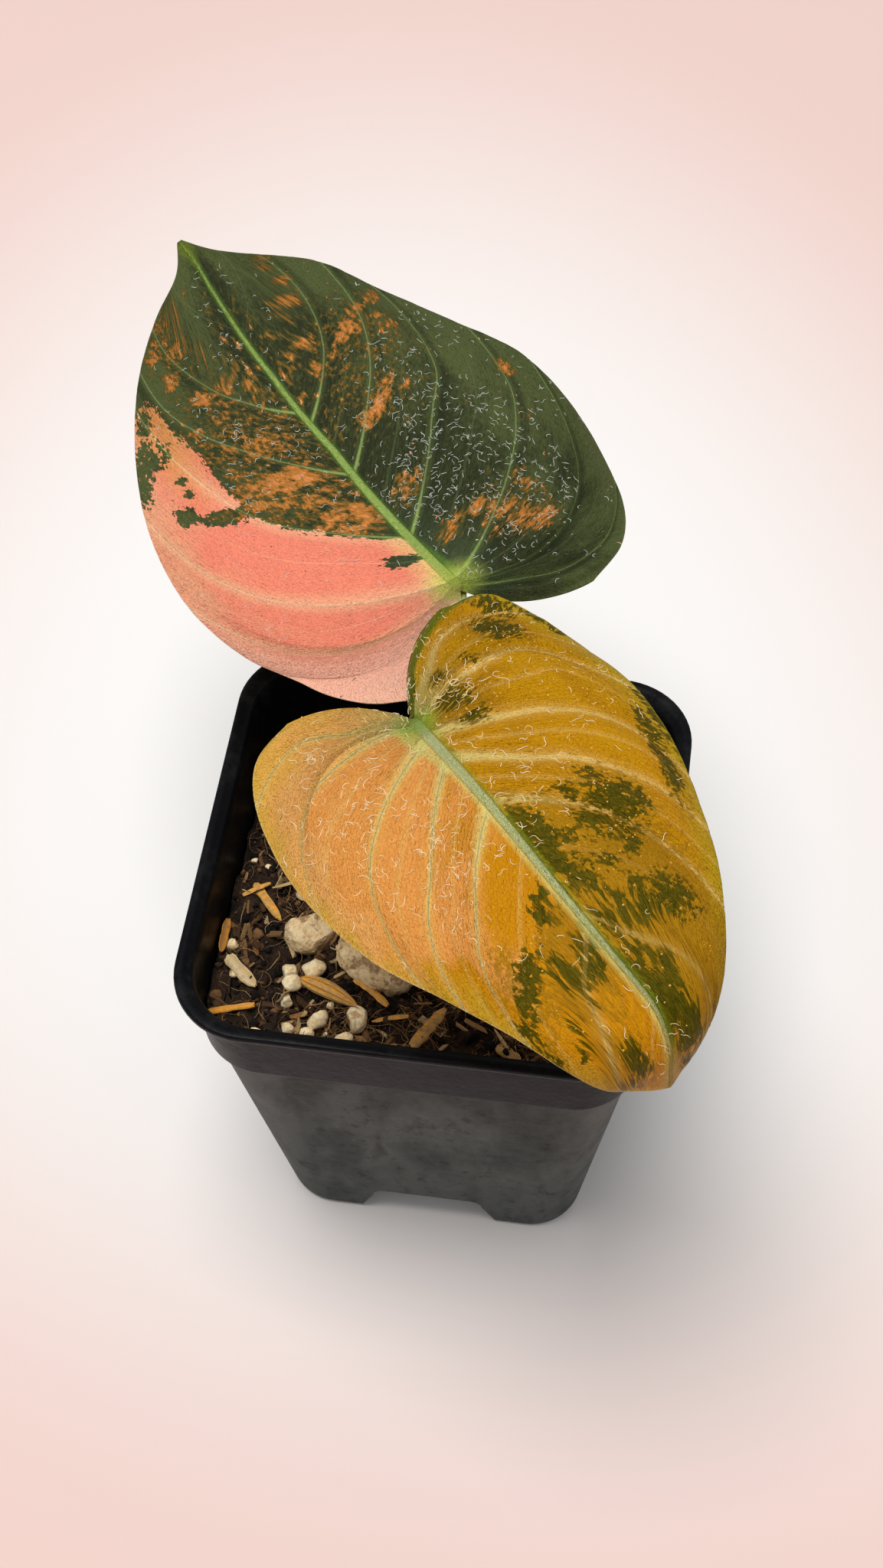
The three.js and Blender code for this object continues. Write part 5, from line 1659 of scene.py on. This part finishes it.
def pumice_material():
    shade = Shader("pumice")
    place = shade.place()
    pits = shade.noise(place, 900, 5, 0.65)
    broad = shade.noise(place, 170, 4, 0.6)
    stain = (broad + (pits - 0.5) * 0.6).step(0.47, 0.6)
    low = (shade.axes()[2] + broad * 0.004).step(0.0875, 0.083)
    colour = shade.paint(
        shade.mix(pits.step(0.3, 0.6), (222, 186, 130), (253, 228, 180)),
        (stain * 0.8, (140, 100, 60)),
        (low * 0.7, (74, 52, 34)),
    )
    return shade.finish(colour, pits * 0.12 + 0.8, 0.2, [(pits, 0.4)])


def make_stones():
    material = pumice_material()
    points, faces = ball(6)
    for node, stone in STONES.items():
        random = np.random.default_rng(stone["seed"])
        shape = chunk(points, random, 9, (0.62, 0.88))
        rough = 0.1 * value_noise(points, 0.7, stone["seed"]) + 0.07 * value_noise(points, 0.3, 91)
        rough = rough - 0.07 * np.maximum(value_noise(points, 0.12, 90), 0.1)
        shape = shape * (1.08 + rough[:, None]) * stone["size"] @ rotation(stone["turn"], "Z").T
        place = shape + (*stone["at"], SOIL_LEVEL + 0.35 * stone["size"][2])
        make_piece(node + "_stone", place, faces, material, "pumice", node)


# Everything in its place

for make in (make_camera, make_studio, make_floor, make_pot, make_bed, make_crumbs, make_chips,
             make_fibres, make_husks, make_perlite, make_stones, make_stalks):
    make()

upper = make_blade("leaf_upper_blade", UPPER_LEAF, "leaf_upper", upper_blade_material(), upper_marks)
lower = make_blade("leaf_lower_blade", LOWER_LEAF, "leaf_lower", lower_blade_material(), lower_marks)
# The curls' whitish colours are partly painted glints: they stand for light caught by small curled marks on
# the blades.
strew("leaf_upper_curls", upper, "leaf_upper", curl, (1.4, 0.05), upper_curl_density,
      colours=((150, 160, 138), (246, 250, 244)), count=950, seed=31)
strew("leaf_lower_curls", lower, "leaf_lower", curl, (2.1, 0.065), lower_curl_density,
      colours=((232, 196, 120), (255, 244, 214)), count=480, seed=32)
strew("leaf_lower_dots", lower, "leaf_lower", dot, (0.1, 0.22), lower_dot_density,
      colours=((196, 136, 30), (226, 172, 66)), count=700, seed=33)
